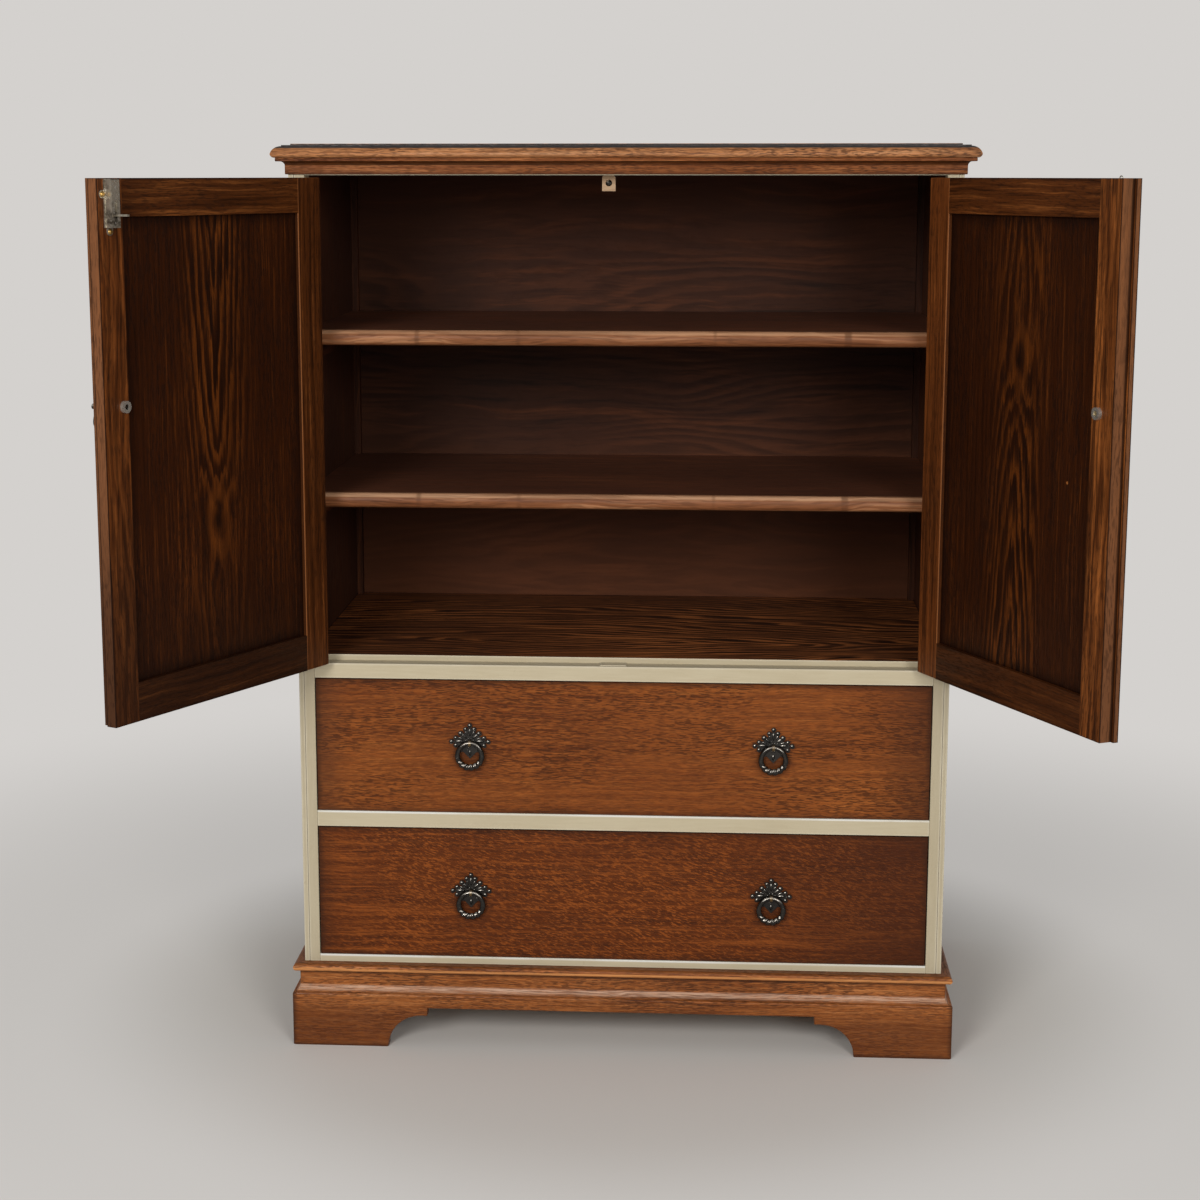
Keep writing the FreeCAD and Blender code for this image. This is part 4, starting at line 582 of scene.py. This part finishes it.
fronts = {
    "upper": (drawerLook, 21.0, {"Centre": 0.7, "Apex": -0.4, "Slope": 0.02, "Pitch": 0.02}),
    "lower": (lowerDrawerLook, 22.0, {"Centre": 0.0, "Apex": 1.0, "Slope": 0.02, "Pitch": 0.02}),
}
ringShade = {"behind": 0.0065, "below": 0.016, "reach": 0.036, "tone": tone(52, 25, 10), "amount": 0.5}
for place, (look, seed, figure) in fronts.items():
    # the wood is darker where the rings hang
    hung = [Vector(joints[place + "_ring_" + side + "_swing"]["pos_m"]) for side in ("left", "right")]
    places = [(at.x, at.y + ringShade["behind"], at.z - ringShade["below"]) for at in hung]
    spots = [(at, ringShade["reach"], ringShade["tone"], ringShade["amount"]) for at in places]
    woodNode(place + "_drawer_front", dict(look, spots=spots), "xy", seed, figure)
for place, seed in (("upper", 23.0), ("lower", 25.0)):
    woodNode(place + "_drawer_box", paleLook, "yx", seed)
    woodNode(place + "_drawer_bottom", paleLook, "xz", seed + 1)
print("drawers dressed")


# Doors: the wood is set out on the shut door

leftPanelFigure = {"Centre": -0.2, "Apex": 1.34, "Slope": 0.085, "Pitch": 0.0105, "Warp": 0.014,
                   "Knot": (-0.2, 0.0, 0.7585), "Knot Size": 0.011}
rightPanelFigure = {"Centre": 0.2065, "Apex": 0.5, "Slope": 0.13, "Pitch": 0.0105, "Warp": 0.014,
                    "Knot": (0.2065, 0.0, 0.96), "Knot Size": 0.011}
# edge tones: the hinge tone is painted shade, the left and right free-edge tones are partly painted light
edgeTones = {"hinge": tone(64, 34, 15), "left": tone(128, 84, 55), "right": tone(114, 75, 49),
             "rails": tone(60, 32, 14)}
frameGains = {
    "left": {"hinge": 0.85, "meeting": 1.3, "rails": 0.75},
    "right": {"hinge": 1.6, "meeting": 1.25, "rails": 1.0},
}
# a thin lighter line along the hinge stiles' arrises: partly worn stain, partly painted highlight
wearAndHighlightArris = {"rim": 0.6, "rimReach": 0.0008, "rimTone": tone(142, 88, 48)}
darkArris = {"rim": 0.6, "rimReach": 0.0016, "rimTone": tone(30, 14, 6)}
# dark upright lines on the free edges of the meeting stiles: painted shadow in the inner corner of the rebate
edgeLines = {
    "left": [(0.0015, -0.448, 0.0013), (0.0015, -0.462, 0.0016)],
    "right": [(0.0035, -0.448, 0.0016), (0.0035, -0.4635, 0.0034), (-0.0015, -0.4635, 0.0012),
              (-0.0015, -0.47, 0.0018)],
}
panelStrong = {"left": (2, 0.74, 0.98, 0.35), "right": (2, 1.0, 0.8, 0.4)}
lowFades = {"left": (2, 0.7, 0.6, 0.66, tone(27, 14, 8)), "right": (2, 0.7, 0.6, 0.42, tone(34, 17, 8))}
stileFades = {"left": [(2, 0.86, 0.6, 0.68, tone(38, 19, 9))], "right": []}
panelSpots = {"left": [], "right": [((0.0957, -0.454, 0.827), 0.0026, tone(150, 92, 46), 1.0)]}
panelFades = {"left": [(2, 0.74, 0.6, 0.4, tone(30, 13, 4))], "right": []}
# width of the lighter line down the hinge stile beside the panel: partly worn stain, partly painted highlight
wearAndHighlightLine = 0.0015
for side, seed, figure in (("left", 30.0, leftPanelFigure), ("right", 40.0, rightPanelFigure)):
    shut = shutTurn(side)
    gain = frameGains[side]
    panelLook = dict(doorLook, strong=panelStrong[side], spots=panelSpots[side], fades=panelFades[side])
    woodNode(side + "_panel", panelLook, "zy", seed, figure, shut)
    low, high = boxOf(side + "_hinge_stile", shut)
    beside = high.x if side == "left" else low.x
    hingeLook = dict(shaded(frameLook, gain["hinge"]), edgeTone=edgeTones["hinge"],
                     lines=[(beside, high.y, wearAndHighlightLine)], **wearAndHighlightArris)
    woodNode(side + "_hinge_stile", hingeLook, "zy", seed + 1, None, shut)
    meetingLook = dict(shaded(frameLook, gain["meeting"]), edgeTone=edgeTones[side], lines=edgeLines[side],
                       fades=stileFades[side], **darkArris)
    woodNode(side + "_meeting_stile", meetingLook, "zy", seed + 2, None, shut)
    railLook = dict(shaded(frameLook, gain["rails"]), edgeTone=edgeTones["rails"],
                    fades=[lowFades[side]])
    woodNode(side + "_rails", railLook, "xy", seed + 3, None, shut)
print("doors dressed")


# Soft arrises on the plain boards

softEdges = {
    "head_rail": 0.0006, "door_rail": 0.0011, "drawer_rail": 0.0011, "bottom_rail": 0.0009,
    "front_stiles": 0.0008, "side_panel_left": 0.0008, "side_panel_right": 0.0008,
    "cupboard_floor": 0.001, "plinth_front": 0.0014, "plinth_sides": 0.0014, "top_board": 0.0006,
    "cornice_front": 0.0007, "cornice_returns": 0.0007, "left_hinge_stile": 0.0012,
    "right_hinge_stile": 0.0012, "left_rails": 0.0012, "right_rails": 0.0012,
}
softening = {"merge": 0.00001, "segments": 2, "angle": 40}


def soften(name, width):
    weld = nodes[name].modifiers.new("weld", "WELD")
    weld.merge_threshold = softening["merge"]
    bevel = nodes[name].modifiers.new("bevel", "BEVEL")
    bevel.width = width
    bevel.segments = softening["segments"]
    bevel.limit_method = "ANGLE"
    bevel.angle_limit = radians(softening["angle"])


for name, width in softEdges.items():
    soften(name, width)
print("arrises softened")


# Metal

# crown is the direction, towards the lamps, that the painted highlight on the crowns faces
ironLook = {
    "body": tone(36, 32, 28), "worn": tone(228, 222, 210), "dirt": tone(16, 14, 12), "rough": 0.32,
    "bump": 0.0001, "metal": 0.8, "coat": 0.55, "rub": (0.66, 0.8), "crown": (-0.35, -0.75, 0.56),
}
# the rings' painted highlight faces up and forward, onto the rope at the bottom
ringLook = dict(ironLook, body=tone(40, 36, 31), crown=(0.05, -0.7, 0.71), rough=0.26)
nickelLook = {
    "body": tone(196, 192, 182), "worn": tone(220, 217, 208), "dirt": tone(150, 140, 118), "rough": 0.24,
    "bump": 0.00003, "metal": 0.75, "coat": 0.0, "rub": (0.56, 0.72),
}
boltLook = dict(nickelLook, dirt=tone(66, 58, 48), body=tone(186, 178, 162), rough=0.3)
nutLook = dict(nickelLook, body=tone(206, 202, 194), worn=tone(236, 232, 224), dirt=tone(140, 133, 122),
               rough=0.2)
brassLook = {
    "body": tone(186, 150, 84), "worn": tone(214, 184, 120), "dirt": tone(110, 82, 42), "rough": 0.3,
    "bump": 0.0001, "metal": 0.9, "coat": 0.0, "rub": (0.56, 0.72),
}
metalWeave = {"spots": (320, 320, 320), "cloud": (60, 60, 60)}
# how wide and how strong the painted crown highlight is
crownHighlight = {"start": 0.84, "end": 0.97, "amount": 0.7}
clip = {"inner": 0.0038, "outer": 0.0056, "amount": 0.35}
outlineDarkening = {"reach": 0.0018, "ragged": 0.0004, "amount": 0.75}
studFrom = (-0.4482, -0.4478)


def metalMaterial(name, look, eye=None, shut=None, studTone=None, box=None):
    material, tree = startMaterial(name)
    point = pointOf(tree, shut)
    spots = noise(tree, point, metalWeave["spots"], 3.0, 0.6)
    cloud = noise(tree, point, metalWeave["cloud"], 3.0, 0.6)
    colour = tint(tree, ease(tree, cloud, 0.3, 0.55), look["dirt"], look["body"])
    colour = tint(tree, ease(tree, spots, *look["rub"]), colour, look["worn"])
    if "crown" in look:
        # painted highlight: the crowns whose faces turn towards the lamps take the pale worn tone
        normal = put(tree, "TexCoord", {}).outputs["Normal"]
        feeds = {0: normal, 1: look["crown"]}
        facing = put(tree, "VectorMath", feeds, operation="DOT_PRODUCT").outputs["Value"]
        crownGlint = ease(tree, facing, crownHighlight["start"], crownHighlight["end"], 0.0, crownHighlight["amount"])
        colour = tint(tree, crownGlint, colour, look["worn"])
    if eye:
        # the clip that holds the ring is brass; the same mask serves the pair of pulls
        x, y, z = split(tree, point)
        mirrored = put(tree, "CombineXYZ", {0: calc(tree, "ABSOLUTE", x), 1: y, 2: z}).outputs[0]
        spot = (abs(eye.x), eye.y, eye.z)
        apart = put(tree, "VectorMath", {0: mirrored, 1: spot}, operation="DISTANCE").outputs["Value"]
        clipped = ease(tree, apart, clip["inner"], clip["outer"], clip["amount"], 0.0)
        colour = tint(tree, clipped, colour, brassLook["body"])
    # the bolt's case and slide are darkened along their arrises
    if box:
        outline = arrisMask(tree, point, box, outlineDarkening["reach"], outlineDarkening["ragged"])
        colour = tint(tree, calc(tree, "MULTIPLY", outline, outlineDarkening["amount"]), colour, look["dirt"])
    if studTone:
        behind = ease(tree, split(tree, point)[1], *studFrom)
        colour = tint(tree, behind, colour, studTone)
    rough = ease(tree, cloud, 0.3, 0.7, look["rough"] + 0.12, look["rough"] - 0.06)
    closeMaterial(tree, colour, rough, spots, look["bump"], metallic=look["metal"], coat=look["coat"])
    return material


def eyeOf(joint, shut=None):
    eye = Vector(joints[joint]["pos_m"])
    if shut is None:
        return eye
    angle, pin = shut
    return Matrix.Rotation(angle, 3, "Z") @ (eye - pin) + pin


iron = metalMaterial("black_iron_worn", ironLook)
ringIron = metalMaterial("ring_iron", ringLook)
nickel = metalMaterial("nickel_satin", nickelLook)
nutNickel = metalMaterial("nut_nickel", nutLook)
brass = metalMaterial("brass_aged", brassLook)
for place in ("upper", "lower"):
    eye = eyeOf(place + "_ring_left_swing")
    wear(place + "_pull_plates", metalMaterial(place + "_pull_iron", ironLook, eye))
for side, studTone in (("left", tone(40, 36, 32)), ("right", tone(206, 186, 140))):
    shut = shutTurn(side)
    eye = eyeOf(side + "_ring_swing", shut)
    wear(side + "_pull_plate", metalMaterial(side + "_pull_iron", ironLook, eye, shut, studTone))
wear("stop_block_screw", iron)
wear("right_wire_loop", nickel)
shut = shutTurn("left")
for name in ("left_bolt_case", "left_bolt_slide"):
    wear(name, metalMaterial(name + "_nickel", boltLook, shut=shut, box=boxOf(name, shut)))
for name in ("left_pull_nut", "right_pull_nut"):
    wear(name, nutNickel)
for name in ("left_bolt_screws", "frame_hinge_leaves", "left_hinge_leaves", "right_hinge_leaves"):
    wear(name, brass)


def addPiece(name, mesh, material, body):
    data = bpy.data.meshes.new(name)
    mesh.to_mesh(data)
    mesh.free()
    data.materials.append(material)
    piece = bpy.data.objects.new(name, data)
    bpy.context.scene.collection.objects.link(piece)
    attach(piece, body)
    return piece


# Relief on the plates: a dome on each lobe, leaves towards the corners and beads round the boss

relief = {
    "stand": 0.0075, "rise": 0.0015, "face": 0.0029, "beads": 10, "beadRing": 0.0062, "bead": 0.0010,
    "beadStand": 0.0009, "leafSink": 0.0005, "domeFlat": 0.625, "leafFlat": 0.8, "sides": 14, "rows": 8,
    "lobes": [(0, 22.3, 2.5), (24.8, 0, 2.5), (12.4, 11.2, 2.8), (19.1, 5.1, 2.4), (5.7, 17.2, 2.4),
              (12.4, -11.2, 2.7), (19.1, -5.1, 2.4)],
    "leaves": [(0, 13, 90, 5.4, 2.0), (14, 0.5, 0, 5.4, 2.0), (7.6, 7.6, 42, 4.6, 1.7),
               (4.6, 11.6, 65, 3.6, 1.2), (12, 4.4, 22, 3.6, 1.2), (0, -15.5, 90, 4.0, 1.8),
               (7.6, -7.4, -42, 3.6, 1.4)],
}


def addDome(mesh, eye, across, up, out, angle, size):
    centre = Vector((eye.x + across, eye.y + relief["stand"] - out, eye.z + relief["rise"] + up))
    place = Matrix.Translation(centre) @ Matrix.Rotation(-angle, 4, "Y") @ Matrix.Diagonal(size + (1.0,))
    bmesh.ops.create_uvsphere(mesh, u_segments=relief["sides"], v_segments=relief["rows"], radius=1.0,
                              matrix=place)


def plateRelief(name, eyes, body, shut=None):
    mesh = bmesh.new()
    for eye in eyes:
        for mirror in (1, -1):
            for across, up, size in relief["lobes"]:
                if across or mirror > 0:
                    dome = (size / 1000, size * relief["domeFlat"] / 1000, size / 1000)
                    addDome(mesh, eye, mirror * across / 1000, up / 1000, relief["face"], 0.0, dome)
            for across, up, angle, long, wide in relief["leaves"]:
                if across or mirror > 0:
                    leaf = (long / 1000, wide * relief["leafFlat"] / 1000, wide / 1000)
                    out = relief["face"] - relief["leafSink"]
                    addDome(mesh, eye, mirror * across / 1000, up / 1000, out, mirror * radians(angle), leaf)
        for i in range(relief["beads"]):
            turn = 2 * pi * i / relief["beads"]
            across = relief["beadRing"] * cos(turn)
            up = relief["beadRing"] * sin(turn) - relief["rise"]
            out = relief["face"] + relief["beadStand"]
            addDome(mesh, eye, across, up, out, 0.0, (relief["bead"],) * 3)
    if shut:
        angle, pin = shut
        back = Matrix.Translation(pin) @ Matrix.Rotation(-angle, 4, "Z") @ Matrix.Translation(-pin)
        bmesh.ops.transform(mesh, matrix=back, verts=mesh.verts)
    bmesh.ops.recalc_face_normals(mesh, faces=mesh.faces)
    for face in mesh.faces:
        face.smooth = True
    addPiece(name, mesh, iron, body)


for place in ("upper", "lower"):
    eyes = [eyeOf(place + "_ring_" + side + "_swing") for side in ("left", "right")]
    plateRelief(place + "_pull_relief", eyes, place + "_drawer")
for side in ("left", "right"):
    shut = shutTurn(side)
    plateRelief(side + "_pull_relief", [eyeOf(side + "_ring_swing", shut)], side + "_door", shut)
print("plates dressed")


# Rings: smooth and thin at the top, thick with a rope twist at the bottom

ring = {"thin": 0.0024, "thick": 0.0047, "swell": 0.9, "flat": 0.88, "sides": 18, "steps": 120,
        "strands": 2, "turns": 15, "groove": 0.34, "twistFrom": 0.55, "twistOver": 0.25, "merge": 0.00001}


def ropeRing(name, node, body, joint):
    pin = Vector(joint["pos_m"])
    across = Vector(joint["axis"]).normalized()
    low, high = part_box(node)
    radius = (high.z - low.z - ring["thin"] - ring["thick"]) / 2
    mesh = bmesh.new()
    start = Matrix.Translation((radius, 0, 0))
    profile = bmesh.ops.create_circle(mesh, segments=ring["sides"], radius=ring["thick"], matrix=start)
    edges = list({e for v in profile["verts"] for e in v.link_edges})
    bmesh.ops.spin(mesh, geom=profile["verts"] + edges, axis=(0, 1, 0), cent=(0, 0, 0), angle=2 * pi,
                   steps=ring["steps"], use_merge=True)
    bmesh.ops.remove_doubles(mesh, verts=mesh.verts, dist=ring["merge"])
    for v in mesh.verts:
        around = atan2(v.co.z, v.co.x)
        tube = atan2(v.co.y, hypot(v.co.x, v.co.z) - radius)
        down = 0.5 - 0.5 * sin(around)
        fade = min(max((down - ring["twistFrom"]) / ring["twistOver"], 0.0), 1.0)
        twist = 0.5 - 0.5 * cos(ring["strands"] * tube + ring["turns"] * around)
        thick = ring["thin"] + (ring["thick"] - ring["thin"]) * down ** ring["swell"]
        thick *= 1 - ring["groove"] * fade * twist * twist
        out = radius + thick * cos(tube)
        v.co = Vector((out * cos(around), thick * ring["flat"] * sin(tube), out * sin(around)))
    up = Vector((0, 0, 1))
    frontward = up.cross(across)
    turn = Matrix((across, frontward, up)).transposed().to_4x4()
    centre = Vector((pin.x, pin.y, high.z - ring["thin"] - radius))
    bmesh.ops.transform(mesh, matrix=Matrix.Translation(centre) @ turn, verts=mesh.verts)
    bmesh.ops.recalc_face_normals(mesh, faces=mesh.faces)
    for face in mesh.faces:
        face.smooth = True
    piece = addPiece(name, mesh, ringIron, body)
    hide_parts(node)


for side in ("left", "right"):
    ropeRing(side + "_rope_ring", side + "_pull_ring", side + "_ring", joints[side + "_ring_swing"])
    for place in ("upper", "lower"):
        name = place + "_ring_" + side
        ropeRing(place + "_rope_ring_" + side, name, name, joints[name + "_swing"])
print("rings made")


# Floor, light and camera

def makeFloor():
    floor = {"size": 30.0, "middle": (0.0, -0.24, 0.0), "near": 0.5, "half": 0.85, "far": 2.0,
             "nearShare": 0.55, "farShare": 0.45,
             "tone": tone(233, 231, 228), "haze": tone(212, 209, 206)}
    mesh = bmesh.new()
    bmesh.ops.create_circle(mesh, cap_ends=True, segments=96, radius=floor["size"])
    data = bpy.data.meshes.new("floor")
    mesh.to_mesh(data)
    mesh.free()
    piece = bpy.data.objects.new("floor", data)
    bpy.context.scene.collection.objects.link(piece)
    material, tree = startMaterial("floor_pale")
    point = pointOf(tree)
    far = put(tree, "VectorMath", {0: point, 1: floor["middle"]}, operation="DISTANCE").outputs["Value"]
    near = ease(tree, far, floor["near"], floor["half"], 0.0, floor["nearShare"])
    beyond = ease(tree, far, floor["half"], floor["far"], 0.0, floor["farShare"])
    mask = calc(tree, "ADD", near, beyond)
    ground = put(tree, "BsdfDiffuse", {"Color": floor["tone"]}).outputs[0]
    haze = put(tree, "Emission", {"Color": floor["haze"]}).outputs[0]
    seen = put(tree, "LightPath", {}).outputs["Is Camera Ray"]
    mixed = put(tree, "MixShader", {0: calc(tree, "MULTIPLY", mask, seen), 1: ground, 2: haze}).outputs[0]
    put(tree, "OutputMaterial", {"Surface": mixed})
    data.materials.append(material)


def makeWorld():
    studio = {"soft": (1.0, 0.985, 0.965, 1.0), "strength": 0.28, "wall": tone(212, 209, 206)}
    world = bpy.data.worlds.new("studio")
    bpy.context.scene.world = world
    world.use_nodes = True
    tree = world.node_tree
    tree.nodes.clear()
    seen = put(tree, "LightPath", {}).outputs
    shown = calc(tree, "MAXIMUM", seen["Is Camera Ray"], seen["Is Transmission Ray"])
    soft = put(tree, "Background", {"Color": studio["soft"], "Strength": studio["strength"]}).outputs[0]
    wall = put(tree, "Background", {"Color": studio["wall"], "Strength": 1.0}).outputs[0]
    mixed = put(tree, "MixShader", {0: shown, 1: soft, 2: wall}).outputs[0]
    put(tree, "OutputWorld", {"Surface": mixed})


lampSettings = [
    ("keyLamp", (-1.2, -4.0, 2.0), 1.3, 62.0),
    ("fillLamp", (1.4, -4.2, 1.8), 1.3, 50.0),
]


def makeLamps():
    aim = Vector((0.0, -0.3, 0.65))
    for name, place, size, power in lampSettings:
        lamp = bpy.data.lights.new(name, "AREA")
        lamp.shape = "DISK"
        lamp.size = size
        lamp.energy = power
        lamp.color = (1.0, 0.97, 0.93)
        piece = bpy.data.objects.new(name, lamp)
        piece.location = place
        piece.rotation_euler = (aim - Vector(place)).to_track_quat("-Z", "Y").to_euler()
        bpy.context.scene.collection.objects.link(piece)


def makeCamera():
    view = {"place": (0.114725, -3.39461, 1.181934), "down": 10.0714, "yaw": 3.4908, "lens": 67.43,
            "shift": (0.02188, -0.02263)}
    camera = bpy.data.cameras.new("viewCamera")
    camera.lens = view["lens"]
    camera.sensor_width = 36.0
    camera.shift_x, camera.shift_y = view["shift"]
    piece = bpy.data.objects.new("viewCamera", camera)
    piece.location = view["place"]
    piece.rotation_euler = (radians(90 - view["down"]), 0.0, radians(view["yaw"]))
    bpy.context.scene.collection.objects.link(piece)
    bpy.context.scene.camera = piece


makeFloor()
makeWorld()
makeLamps()
makeCamera()
bpy.context.scene.view_settings.view_transform = "Standard"
print("floor, light and camera set")
